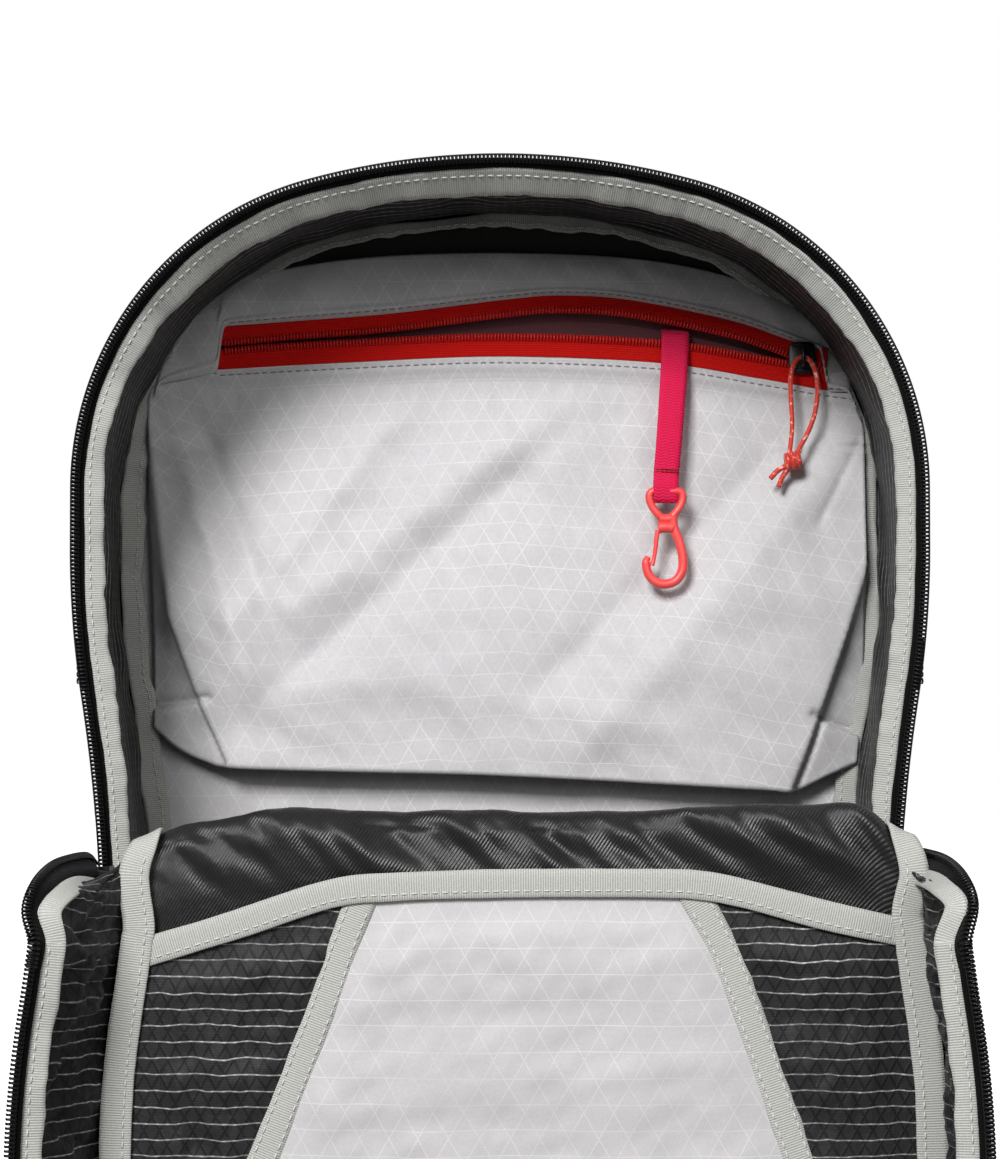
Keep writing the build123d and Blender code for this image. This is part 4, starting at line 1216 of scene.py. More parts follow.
def key_hook():
    low, high = box("key_leash")
    x, y, z = (low[0] + high[0]) / 2, low[1] + 3.1, low[2] + 3.1
    outline = [(-2.0, -8.6), (-3.8, -6.6), (-5.3, -4.4), (-6.2, -1.9), (-6.1, 0.1), (-4.8, 1.2), (-2.3, 1.15),
               (2.3, 1.15), (4.8, 1.2), (6.1, 0.1), (6.2, -1.9), (5.3, -4.4), (3.8, -6.6), (2.0, -8.6)]
    ring = smooth_path([(a, 0, b) for a, b in outline], 90)
    stem = smooth_path([(2.4, 0, -8.4), (3.0, 0, -12.6), (5.0, 0, -18), (6.2, 0, -23.5), (6.0, 0, -28.5),
                        (3.6, 0, -32.3), (-0.6, 0, -33.6), (-4.4, 0, -32.4), (-6.8, 0, -29.4),
                        (-7.5, 0, -25.4), (-6.6, 0, -23.4)], 90)
    thick = np.interp(np.linspace(0, 1, 90), (0, 0.1, 0.7, 0.95, 1), (1.9, 1.75, 1.8, 1.6, 1.0))
    neck = smooth_path([(-2.4, 0, -8.9), (-1.0, 0, -9.2), (1.0, 0, -9.2), (2.4, 0, -8.9)], 12)
    low_neck = smooth_path([(-2.8, 0, -12.6), (-1.2, 0, -12.3), (1.2, 0, -12.3), (2.8, 0, -12.6)], 12)
    parts = [tube_mesh(ring, 1.45, 14), tube_mesh(stem, thick, 14), tube_mesh(neck, 1.9, 12),
             tube_mesh(low_neck, 2.2, 12)]
    points, faces = merged(parts)
    points[:, 1] *= 1.1
    hook = new_object("leash_hook", points + (x, y, z), faces, CORAL_PLASTIC, closed=True)
    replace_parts(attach(hook, "hook"), "key_hook")
    gate_path = smooth_path([(-3.0, 0, -13.4), (-3.6, 0, -16.5), (-4.0, 0, -20.5), (-4.6, 0, -24.2),
                             (-5.3, 0, -26.6)], 40)
    gate_thick = np.interp(np.linspace(0, 1, 40), (0, 0.8, 1), (0.95, 0.75, 0.95))
    points, faces = tube_mesh(gate_path, gate_thick, 12)
    gate = new_object("leash_hook_gate", points + (x, y, z), faces, CORAL_PLASTIC, closed=True)
    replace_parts(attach(gate, "gate"), "key_hook_gate")


shell()
inner_gusset()
rim_zip()
body_bindings()
back_wall()
upper_lining()
pocket_zip()
pocket_bag()
pocket_slider()
leash()
key_hook()


# ------------------------------------------------------------------ opening panel, folded down
CORNER_Z = 2 * HINGE_Z - 262.0  # closed height at which the flap's regular edge hands over to its soft corner


def flap_draw(s):
    """How far the flap's seam lies inside its rim; its right wall stands steeper near the fold."""
    z = height_at(s)
    steep = np.where(side_of(s) > 0, smooth((480 - z) / 90), 0)
    return 20.5 - 15.0 * steep


def fold_top(x):
    return edge_at(x, ((-120, 285), (-112, 289), (-106, 292.2), (-99, 294.3), (-90, 294.9), (-76, 297.2),
                       (-66, 298.8), (-52, 298.5), (4, 298.0), (52, 297.8), (92, 298.9), (110, 299.4),
                       (119, 296.6), (125, 290.8), (132, 285)))


def fold_cloth():
    """Dark twill that lines the fold: one sheet shaped from the pack behind the fold round to the flap in
    front of it.
    """
    section = [(-58, -62), (-62, -44), (-67, -27), (-74, -12), (-80, -4.2), (-85, -0.8), (-89.5, 0),
               (-93.3, -2.4), (-95.6, -8), (-95.6, -16), (-94.4, -22), (-93.2, -28), (-92.8, -40)]
    path = smooth_path([(0, y, z) for y, z in section], 76)[:, 1:]
    share = np.linspace(0, 1, 76)
    x = np.linspace(0, 1, 190)
    rows = []
    for t, (y, z) in zip(share, path):
        left = -112.5 - 4 * smooth((t - 0.5) * 4) + 6 * smooth((0.25 - t) * 4)
        right = 125.5 + 8 * smooth((t - 0.55) * 4) - 4 * smooth((0.25 - t) * 4)
        xs = left + (right - left) * x
        top = fold_top(xs)
        slide = xs + 0.9 * z
        wrinkle = (3.4 * wave_noise(slide, z + 0.3 * xs, 91, 64)
                   + 0.8 * wave_noise(slide * 1.3, z * 0.6, 92, 24))
        for fold in (((-60, -2), (-18, -34), 6, 1.5), ((60, -2), (98, -30), 7, 1.4),
                     ((10, -4), (-20, -30), 8, -1.2)):
            wrinkle = wrinkle + crease(xs, z + 0 * xs, *fold, fade=0.4)
        wrinkle = (wrinkle * smooth((t - 0.1) * 4) * smooth((0.9 - t) * 6) * smooth((xs - left) / 8)
                   * smooth((right - xs) / 8))
        out_y = np.where(y < -84, -1.0, -0.2) * wrinkle
        out_z = 0.35 * wrinkle * (1 if z > -6 else 0.1)
        rows.append(np.stack([xs, y + out_y, top + z + out_z], 1))
    rows = np.array(rows)
    v = np.concatenate([[0], np.cumsum(np.linalg.norm(np.diff(path, axis=0), axis=1))])
    uv = np.stack([np.repeat(v[:, None], 190, 1), rows[..., 0]], 2)
    cloth = skin("fold_lining", rows, TWILL, uv=uv, thickness=0.8)
    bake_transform(cloth)
    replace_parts(cloth, "fold_strip")


def plate_over(name, inset_of, y_open, material, node, bulge=0.0, z_top=264.0, thickness=0.8):
    """A panel inside the flap's outline, in open coordinates, with soft relief."""
    rows = []
    for t in np.linspace(0, 1, 120):
        z_open = z_top + (56.0 - z_top) * t
        z_closed = 2 * HINGE_Z - z_open
        half = half_width_at(min(z_closed, HEIGHT - 1.0))
        s_right, s_left = s_at(min(z_closed, HEIGHT - 1), 1), s_at(min(z_closed, HEIGHT - 1), -1)
        left = -(half - inset_of(np.array(s_left)))
        right = half - inset_of(np.array(s_right))
        xs = np.linspace(left, right, 130)
        soft = smooth((xs - left) / 20) * smooth((right - xs) / 20) * smooth(t * 8) * smooth((1 - t) * 8)
        y = y_open - (bulge + 1.0 * wave_noise(xs, z_open + 0 * xs, 61, 60)) * soft
        rows.append(np.stack([xs, y, z_open + 0 * xs], 1))
    rows = np.array(rows)
    obj = skin(name, rows, material, uv=flat_uv(rows), thickness=thickness)
    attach(obj, "flap")
    if node:
        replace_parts(obj, node)
    return obj


HEM_TOP = ((-115.5, 257.6), (-111.5, 258.8), (-83.4, 267.3), (-53.2, 276.1), (-33, 278.4), (3.9, 279.3),
           (49.7, 279.3), (63.9, 278.6), (76.8, 277.6), (102, 271.4), (126.7, 264.4), (130.4, 263.5))
HEM_LOW = ((-115.5, 247.3), (-111.5, 248.6), (-83.4, 257.2), (-49.1, 268.0), (-36.1, 270.0), (3.9, 271.4),
           (53.8, 271.4), (67.7, 270.6), (81.9, 266.6), (110, 259.4), (128.2, 255.4), (130.6, 254.8))
LEFT_STAY = ((-42.4, 273.5), (-50.0, 253.5), (-55.8, 236.4), (-71, 197), (-88.5, 152), (-90, 120), (-88, 104))
RIGHT_STAY = ((60.2, 273.5), (70.8, 253.7), (77.4, 236.4), (91, 197), (106.5, 152), (107, 122), (103, 106))


def hem_low(x):
    return np.interp(x, *zip(*HEM_LOW))


def stay_at(z, stay):
    """Where a stay is at height z."""
    return np.interp(z, *zip(*[(b, a) for a, b in stay[::-1]]))


def sleeve_face(x, z):
    """Open depth of the sleeves: they stand off the flap in soft swells."""
    left = stay_at(z, LEFT_STAY)
    right = stay_at(z, RIGHT_STAY)
    middle = smooth((x - left) / 16) * smooth((right - x) / 16)
    outer = (smooth((left - x) / 12) * smooth((x + 112) / 12)
             + smooth((x - right) / 12) * smooth((126 - x) / 12))
    under = smooth((hem_low(x) - z) / 14)
    swell = 2.2 * middle + 1.6 * outer
    folds = 0.9 * wave_noise(x, z, 33, 38) + 0.5 * wave_noise(x, z * 0.5, 34, 14) * outer
    return FLAP_CLOTH_Y - (swell + folds * (middle + outer)) * under


def sleeves():
    """Three flat pockets on the flap: a pale one in the middle and a ripstop one at each side."""
    zones = (("sleeve_middle", LEFT_STAY, RIGHT_STAY, SLEEVE, "grey_lining"),
             ("sleeve_left", None, LEFT_STAY, FLAP_CLOTH, "dark_ripstop"),
             ("sleeve_right", RIGHT_STAY, None, FLAP_CLOTH, "dark_ripstop"))
    made = []
    for name, low_side, high_side, material, slot in zones:
        rows = []
        for t in np.linspace(0, 1, 110):
            z_flat = 272 - (272 - 82) * t
            z_closed = 2 * HINGE_Z - z_flat
            half_l = half_width_at(z_closed) - flap_draw(np.array(s_at(z_closed, -1))) - 7
            half_r = half_width_at(z_closed) - flap_draw(np.array(s_at(z_closed, 1))) - 7
            left = -half_l if low_side is None else stay_at(z_flat, low_side)
            right = half_r if high_side is None else stay_at(z_flat, high_side)
            left, right = max(left, -half_l), min(right, half_r)
            right = max(right, left + 1.0)
            xs = np.linspace(left, right, 90)
            z = np.minimum(z_flat + 0 * xs, hem_low(xs) + 3.5)
            rows.append(np.stack([xs, sleeve_face(xs, z), z], 1))
        rows = np.array(rows)
        sheet = skin(name, rows, material, uv=flat_uv(rows), thickness=0.7)
        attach(sheet, "flap")
        made.append(sheet)
    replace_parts(made[0], "flap_center_sleeve")
    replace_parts(made[1], "flap_side_sleeves")


def flat_band(name, centre, width, y_of, body, lift=0.9, thick=1.1):
    """A binding along a line of (x, z) points on the flap's inner face."""
    path = smooth_path([(x, 0, z) for x, z in centre], 110)
    path[:, 1] = y_of(path[:, 0], path[:, 2]) - lift
    ripple = 0.25 * line_noise(np.linspace(0, 260, 110), 12, 22)
    tangent = unit(np.gradient(path, axis=0))
    across = np.cross(tangent, (0, 1, 0))
    width = np.broadcast_to(width, (110,)) + ripple
    obj = loft(name, path, across, width, thick, GREY_BIND, crown=0.25)
    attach(obj, body)
    side = unit(across)
    return obj, path, side, width


def hem_and_stays():
    centre = [(x, (z + z2) / 2) for (x, z), (_, z2) in zip(HEM_TOP, HEM_LOW)]
    hem_face = lambda x, _: FLAP_CLOTH_Y - 1.2 * smooth((124 - np.abs(x - 7)) / 22)
    obj, path, side, width = flat_band("flap_hem", centre, 9.0, hem_face, "flap", lift=0.8, thick=1.3)
    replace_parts(obj, "flap_sleeve_bindings")
    down = np.where(side[:, 2:3] > 0, -1, 1) * side
    lines = [(path + down * width[:, None] * 0.26 + (0, -0.85, 0), (0, -1, 0))]
    for name, stay in (("flap_stay_left", LEFT_STAY), ("flap_stay_right", RIGHT_STAY)):
        obj, path, side, width = flat_band(name, stay, 9.6, sleeve_face, "flap", lift=0.5, thick=1.2)
        lines += [(path[4:] + k * side[4:] * width[4:, None] * 0.33 + (0, -0.85, 0), (0, -1, 0))
                  for k in (-1, 1)]
    stitches("flap_hem_stitches", lines, PALE_THREAD, "flap")


SEAM_TURNS = {
    -1: ((-112.6, -94.6, 286.4), (-110.6, -89.4, 290.0), (-110.2, -82, 286.5), (-111, -74, 280)),
    1: ((128.6, -94.8, 286.4), (126.0, -90.2, 291.6), (123.8, -82.5, 290.4), (123.4, -75, 285)),
}


def seam_band(s, draw):
    """The binding round the flap's seam; both its ends curl over the fold and lie on the pack there."""
    x, z = on_outline(s, draw + 5.8)
    ring = folded(np.stack([x, -80.2 + 0.35 * line_noise(s, 45, 40), z], 1))[::6]
    right_end = np.array([(130.2, -97.0, 277.5)])
    left_end = np.array([(-115.0, -97.0, 277.5)])
    path = np.concatenate([np.array(SEAM_TURNS[1])[::-1], right_end, ring, left_end,
                           np.array(SEAM_TURNS[-1])])
    path = smooth_path(path, 900)
    run = np.linspace(0, 1, 900)
    ends = np.minimum(run, 1 - run) * np.linalg.norm(np.diff(path, axis=0), axis=1).sum()
    side = np.where(run < 0.5, 1.0, -1.0)
    lean = np.interp(ends, (0, 12, 26, 44), (0.9, 0.7, 0.3, 0.0))
    tangent = unit(np.gradient(path, axis=0))
    flat = np.cross(tangent, (0, 1, 0))
    flat = flat * np.sign((flat[:, :1] * side[:, None]) + 1e-9)
    over = np.stack([np.cos(lean) * side, 0 * lean, -np.sin(lean)], 1)
    share = smooth((ends - 14) / 26)[:, None]
    across = unit(flat * share + over * (1 - share))
    width = np.interp(ends, (0, 14, 38), (4.5, 7.6, 9.9)) + 0.35 * line_noise(run * 900, 46, 30) * share[:, 0]
    obj = loft("flap_seam_band", path, across, width, 1.3, GREY_BIND, crown=0.25)
    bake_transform(obj)
    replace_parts(obj, "flap_seam_binding")
    inward = -across * np.where((across[:, :1] * side[:, None]) > 0, 1, -1)
    line = (path + inward * width[:, None] * 0.24 + (0, -0.95, 0))[40:-40]
    stitches("flap_seam_stitches", [(line, (0, -1, 0))], PALE_THREAD, "flap")


def flap_edges():
    s = np.linspace(s_at(CORNER_Z - 6, 1), s_at(CORNER_Z - 6, -1), 760)
    seam_band(s, flap_draw(s))
    s = np.linspace(s_at(CORNER_Z, 1), s_at(CORNER_Z, -1), 760)
    calm = smooth((s - s[0]) / 25) * smooth((s[-1] - s) / 25)
    wavy = (0.6 * line_noise(s, 47, 34) + 0.3 * line_noise(s, 48, 12)) * calm
    ring_binding("flap_rim_band", s, 3.8, 10.6 + wavy, -36.4, -38.2 + 0.8 * line_noise(s, 49, 30) * calm,
                 -1.1, "flap_rim_binding", stitch_at=0.35, fold=True, body="flap")

    rows, y_closed = [], np.linspace(-87.5, -40.5, 22)
    for k, y in enumerate(y_closed):
        t = k / 21
        inset = flap_draw(s) * (1 - t) + 2.6 * t
        crumple = (2.6 * wave_noise(s * 0.75, y + 0 * s, 81, 30)
                   + 1.5 * wave_noise(s, y + 0 * s, 82, 12)) * sin(pi * t) ** 0.7
        rows.append(ring_at(s, inset + crumple + 1.2, y + 0.5 * crumple))
    wall = skin("flap_wall", folded(np.array(rows).transpose(1, 0, 2)), SIDE_CLOTH, thickness=1.2)
    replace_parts(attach(wall, "flap"), "flap_gusset")
    rows = []
    for k, y in enumerate(y_closed):
        t = k / 21
        inset = flap_draw(s) * (1 - t) + 2.6 * t
        rows.append(ring_at(s, inset - 1.9 + 0.6 * wave_noise(s, y + 0 * s, 81, 30) * sin(pi * t), y))
    side = skin("flap_side", folded(np.array(rows).transpose(1, 0, 2)), SHELL, thickness=0.8)
    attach(side, "flap")

    coil = new_object("flap_coil", *teeth(s, FLAP_COIL_Y, fold=True), BLACK_COIL)
    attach(coil, "flap")
    core = new_object("flap_coil_cord", *tube_mesh(folded(ring_at(s, 2.4, FLAP_COIL_Y)), 0.85, 8), BLACK_TAPE)
    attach(core, "flap")
    tape = skin("flap_tape", folded(band(s, 1.7, 4.6, -34.2, -34.9, -0.8, 4)), BLACK_TAPE, close=True)
    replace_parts(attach(tape, "flap"), "flap_zipper")
    wall = np.stack([ring_at(s, 1.9, -34.4), ring_at(s, 2.2, -42.5)], 1)
    side = skin("flap_tape_side", folded(wall), BLACK_TAPE, thickness=0.8)
    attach(side, "flap")


def corners():
    """Soft corners beside the fold, where the zipper tapes turn from the pack to the flap."""
    for name, side in SIDES:
        s0, s1 = s_at(CORNER_Z + 8, side), s_at(CORNER_Z, side)

        def rim(inset, y_closed, s):
            x, z = on_outline(s, inset)
            return folded(np.array([float(x), y_closed, float(z)]))
        high = 0.0 if side < 0 else 1.6
        reach = [(141.4, -138.5, 270.5), (140.4, -129, 277.5), (139.2, -108, 281.2), (138.2, -78, 281.6),
                 (137.6, -48, 280.4), (137.4, -33, 277)]
        path = [rim(1.7, FLAP_COIL_Y, s0), rim(1.7, FLAP_COIL_Y, s1)]
        path += [(side * x, y, z + high) for x, y, z in reach]
        path = smooth_path(path, 150)
        band_in = [(134.4, -137.4, 270.0), (131.6, -127, 274.8), (130.6, -103, 275.8), (130.0, -74, 273.6),
                   (130.4, -46, 270)]
        inner = [rim(7.2, -37.9, s0), rim(7.2, -37.9, s1)]
        inner += [(side * (x + (2.0 if side > 0 else 0)), y, z + high) for x, y, z in band_in]
        inner = smooth_path(inner, 150)
        draw = float(flap_draw(np.array(s1)))
        if side < 0:
            fold_in = [(-118.5, -94.4, 272), (-117.0, -93.6, 281), (-115.0, -90.0, 286.0), (-114, -82, 286),
                       (-117, -70, 281), (-122, -54, 272)]
        else:
            fold_in = [(132.5, -94.4, 272), (130.2, -92.6, 279.5), (127.6, -88.5, 283.5), (126.4, -82, 284),
                       (127, -70, 279), (129, -54, 271)]
        low = smooth_path([rim(draw + 1.0, -86.5, s0), rim(draw + 1.0, -86.5, s1)] + fold_in, 150)

        # the ripstop between the flap's seam and its rim
        t = np.linspace(0, 1, 150)[:, None]
        w = np.linspace(0, 1, 20)[None]
        base = low[:, None] * (1 - w[..., None]) + inner[:, None] * w[..., None]
        crumple = (2.0 * wave_noise(t * 110, w * 40, 83 + side, 26)
                   + 1.0 * wave_noise(t * 110, w * 40, 85 + side, 11))
        crumple = crumple * np.sin(pi * w) * (1 - 0.6 * t)
        base[..., 0] -= side * crumple
        base[..., 2] += 0.6 * crumple - 5.0 * np.sin(pi * w) * t
        patch = skin(f"corner_cloth_{name}", base, SIDE_CLOTH, thickness=1.0)
        # grosgrain and zipper along the same turn
        across = unit(path - inner)
        width = np.interp(np.linspace(0, 1, 150), (0, 0.35, 0.6, 0.8, 1), (6.9, 6.9, 6.2, 4.4, 3.4))
        flatter = unit((path - inner) * (1, 0.25, 1))
        strip = loft(f"corner_binding_{name}", inner, flatter, width, 1.1, GREY_BIND, crown=0.2)
        tape_rows = np.stack([path - across * 0.3 + (0, 1.2, 0), inner + across * 3.8 + (0, 0.9, 0)], 1)
        tape = skin(f"corner_tape_{name}", tape_rows, BLACK_TAPE, thickness=0.9)
        spots, run, origins, along = walk(path, COIL_PITCH)
        inward = -np.stack([np.interp(spots, run, across[:, k]) for k in range(3)], 1)
        depth = unit(np.cross(along, inward))
        inward = np.cross(depth, along)
        hairpin = [(i - 1.7, d, COIL_SLANT * np.sign(d) * (1 - i / TOOTH_LENGTH)) for i, d in TOOTH_PATH]
        points, faces = tube_mesh(hairpin, COIL_WIRE, 6)
        coil = new_object(f"corner_coil_{name}", *copies(points, faces, origins, inward, depth, along),
                          BLACK_COIL)
        cord = new_object(f"corner_coil_cord_{name}", *tube_mesh(path - across * 0.7, 0.85, 8), BLACK_TAPE)
        for obj, slot in ((patch, "dark_ripstop"), (strip, "grey_grosgrain"), (tape, "black_zipper"),
                          (coil, "black_zipper"), (cord, "black_zipper")):
            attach(obj, "pack")
            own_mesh(obj)


fold_cloth()
plate_over("flap_backing", lambda s: flap_draw(s) + 3.0, -92.6, TWILL, "flap_lining")
plate_over("flap_outer", lambda s: flap_draw(s) + 0.5, -89.8, SHELL, "flap_panel", bulge=-2.0,
                   z_top=276.0, thickness=1.4)
sleeves()
hem_and_stays()
flap_edges()
corners()


# ------------------------------------------------------------------ lower front, base and closed zipper
def lower_front():
    s = np.concatenate([np.linspace(s_at(276, -1), TOTAL_S, 300)[:-1], np.linspace(0, s_at(276, 1), 300)])
    z = height_at(s)
    rows = []
    for t in np.linspace(0, 1, 14):
        y = TAPE_FRONT_Y + (FRONT_Y + 0.8 - TAPE_FRONT_Y) * t
        swell = 2.0 * sin(pi * t) + 0.8 * wave_noise(s, y + 0 * s, 24, 50) * sin(pi * t)
        puff = swell * smooth((z - 12) / 30)
        rows.append(ring_at(s, 18.7 * t + 0.8 - puff, y))
    gusset = skin("front_gusset", np.array(rows).transpose(1, 0, 2), SHELL, thickness=1.5)
    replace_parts(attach(gusset, "pack"), "lower_front_gusset")

    rows = [ring_at(s[z < 52], 0.8, y) for y in (TAPE_FRONT_Y - 0.5, -36, -30, -24, TAPE_REAR_Y + 1)]
    floor = skin("base_front", np.array(rows).transpose(1, 0, 2), SHELL, thickness=1.6)
    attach(floor, "pack")

    rows = []
    for t in np.linspace(0, 1, 90):
        zz = 21.5 + (276 - 21.5) * t
        half = half_width_at(zz) - 20.2
        if zz < 60:
            half = half_width_at(60) - 20.2 - (38 - sqrt(max(38**2 - (60 - zz) ** 2, 0)))
        xs = np.linspace(-half, half, 110)
        soft = smooth((half - np.abs(xs)) / 26) * smooth((zz - 20) / 24)
        y = FRONT_Y + 0.8 - (1.6 + 0.9 * wave_noise(xs, zz + 0 * xs, 29, 64)) * soft * smooth((285 - zz) / 60)
        rows.append(np.stack([xs, y, zz + 0 * xs], 1))
    panel = skin("front_panel", np.array(rows), SHELL, thickness=1.5)
    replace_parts(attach(panel, "pack"), "lower_front_panel")
    piping = new_object("front_piping", *tube_mesh(ring_at(s, 19.4, FRONT_Y + 0.6)[::2], 1.5, 8), BLACK_BIND)
    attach(piping, "pack")

    for name, side in SIDES:
        ends = sorted((s_at(50, side), s_at(272, side)))
        s_zip = np.linspace(*ends, 200)
        coil = new_object(f"lower_coil_{name}", *teeth(s_zip, FLAP_COIL_Y), BLACK_COIL)
        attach(coil, "pack")
        rows = [ring_at(s_zip, 1.9, y) for y in np.linspace(-34.2, -42.6, 4)]
        tape = skin(f"lower_tape_{name}", np.array(rows).transpose(1, 0, 2), BLACK_TAPE, thickness=0.8)
        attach(tape, "pack")
        if side < 0:
            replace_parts(tape, "lower_zipper")


# ------------------------------------------------------------------ padded pieces
def laid_on(obj, path):
    """A path moved onto the nearest points of a padded piece, for the piping along its edge."""
    bpy.context.view_layer.update()
    near = [obj.closest_point_on_mesh(Vector(p) * MM) for p in path]
    spots = np.array([np.array(hit[1]) / MM for hit in near])
    smoothed = spots.copy()
    for _ in range(3):
        smoothed[1:-1] = (smoothed[:-2] + smoothed[1:-1] * 2 + smoothed[2:]) / 4
    return smoothed


PRESSURE, SIM_FRAMES = 4.0, 20


def inflate(obj, cap, voxel=5.0):
    """Swells a closed form with a short cloth simulation, and keeps its result as the mesh."""
    bpy.context.view_layer.update()
    remesh = obj.modifiers.new("remesh", "REMESH")
    remesh.mode, remesh.voxel_size = "VOXEL", voxel * MM
    graph = bpy.context.evaluated_depsgraph_get()
    base = bpy.data.meshes.new_from_object(obj.evaluated_get(graph))
    material = obj.data.materials[0]
    obj.modifiers.clear()
    base.materials.clear()
    base.materials.append(material)
    obj.data = base
    rest = np.empty(len(base.vertices) * 3)
    base.vertices.foreach_get("co", rest)
    cloth = obj.modifiers.new("cloth", "CLOTH")
    settings = cloth.settings
    settings.quality = 4
    settings.mass = 0.25
    settings.use_pressure = True
    settings.uniform_pressure_force = PRESSURE
    settings.tension_stiffness = settings.compression_stiffness = 18
    settings.bending_stiffness = 0.6
    settings.effector_weights.gravity = 0.0
    scene = bpy.context.scene
    for frame_number in range(1, SIM_FRAMES + 1):
        scene.frame_set(frame_number)
    graph = bpy.context.evaluated_depsgraph_get()
    swollen = bpy.data.meshes.new_from_object(obj.evaluated_get(graph))
    moved = np.empty(len(swollen.vertices) * 3)
    swollen.vertices.foreach_get("co", moved)
    obj.modifiers.clear()
    scene.frame_set(1)
    rest, moved = rest.reshape(-1, 3), moved.reshape(-1, 3)
    push = moved - rest
    size = np.linalg.norm(push, axis=1, keepdims=True)
    push *= np.minimum(1, cap * MM / np.maximum(size, 1e-9))
    base.vertices.foreach_set("co", (rest + push).ravel())
    base.polygons.foreach_set("use_smooth", [True] * len(base.polygons))
    base.update()
    smoother = obj.modifiers.new("smooth", "SUBSURF")
    smoother.levels = smoother.render_levels = 1
    return obj


def reshape(obj, change):
    """Moves an object's points by a function of their millimetre places."""
    points = np.empty(len(obj.data.vertices) * 3)
    obj.data.vertices.foreach_get("co", points)
    points = change(points.reshape(-1, 3) / MM)
    obj.data.vertices.foreach_set("co", (points * MM).ravel())
    obj.data.update()


def rounded(width, height, corner):
    """Points of a rounded rectangle about the origin."""
    t = np.linspace(0, 2 * pi, 72, endpoint=False)
    px = np.sign(np.cos(t)) * np.minimum(width / 2, (width / 2 - corner) + corner * np.abs(np.cos(t)))
    pz = np.sign(np.sin(t)) * np.minimum(height / 2, (height / 2 - corner) + corner * np.abs(np.sin(t)))
    return np.stack([px, pz], 1)


def pad(name, centre, size, corner, y_low, y_high, material, grooves):
    rings = []
    edge = rounded(size[0], size[1], corner)
    for share, draw in ((0.0, 1.2), (0.12, 0.2), (0.4, 0.0), (0.7, 0.8), (0.88, 2.4), (1.0, 5.5)):
        scale = 1 - draw / np.abs(edge).max(0)
        ring = edge * scale + centre
        depth = np.full(len(ring), y_low + (y_high - y_low) * share)
        rings.append(np.stack([ring[:, 0], depth, ring[:, 1]], 1))
    for k in (0.8, 0.55, 0.3, 0.1):
        ring = edge * scale * k + centre
        rings.append(np.stack([ring[:, 0], np.full(len(ring), y_high + 0.6 * (1 - k)), ring[:, 1]], 1))
    obj = skin(name, rings, material, close=True)
    inflate(obj, 2.5)

    def carve(points):
        near = smooth((points[:, 1] - y_low - 3) / 4)
        for level in grooves:
            deep = np.exp(-((points[:, 2] - centre[1] - level - 2.0 * np.sin(points[:, 0] / 17)) / 3.0) ** 2)
            points[:, 1] -= 3.6 * deep * near
        points[:, 1] = np.clip(points[:, 1], y_low, y_high + 2.6)
        return points
    reshape(obj, carve)
    return obj


def back_side():
    """Foam back with its edge binding, the two back pads and the lumbar pad."""
    s = np.linspace(0, TOTAL_S, 500)[:-1]
    rings = []
    for y, inset in ((84.4, 1.4), (84.6, 0.4), (88, 0.0), (91.5, 0.8), (93.4, 3.0), (94.0, 7.0), (93.0, 14),
                     (92.6, 24), (92.8, 36)):
        rings.append(ring_at(s, inset, y))
    for k in (0.75, 0.5, 0.25, 0.04):
        x, z = on_outline(s, 36)
        rings.append(np.stack([x * k, 93.0 + 0 * x, 260 + (z - 260) * k], 1))
    foam = skin("back_padding", rings, MESH_PAD, close=True)
    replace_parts(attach(foam, "pack"), "back_foam")
    ring = ring_at(s, 0.4, 84.3)
    piping = new_object("back_piping", *tube_mesh(np.concatenate([ring, ring[:1]])[::2], 1.6, 8), BLACK_BIND)
    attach(piping, "pack")

    low, high = box("back_pads")
    pads = []
    for name, side in SIDES:
        obj = pad(f"back_pad_{name}", (side * 62, 325), (70, 206), 24, low[1] - 0.6, high[1] - 1.5, MESH_PAD,
                  grooves=(-52, 0, 52))
        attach(obj, "pack")
        pads.append(obj)
    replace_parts(pads[0], "back_pads")
    low, high = box("lumbar_pad")
    obj = pad("lumbar_cushion", (0, 112), (182, 100), 34, low[1] - 0.6, high[1] - 1.5, MESH_PAD,
              grooves=(-22, 22))
    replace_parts(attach(obj, "pack"), "lumbar_pad")


STRAP_PATH = [(100, 468), (104, 479), (118, 485), (134, 484), (148, 476), (158, 452), (162, 425), (161, 385),
              (155.5, 335), (145, 285), (130.5, 234)]
STRAP_INNER = ((500, 12), (452, 12), (410, 18), (370, 28), (330, 42), (290, 58), (258, 73), (228, 86))
STRAP_OUTER = ((500, 74), (452, 74), (410, 79), (370, 88), (330, 100), (290, 112), (258, 119), (226, 123.5))


def strap_edge(table, z):
    return np.interp(z, [a for a, _ in table[::-1]], [b for _, b in table[::-1]])


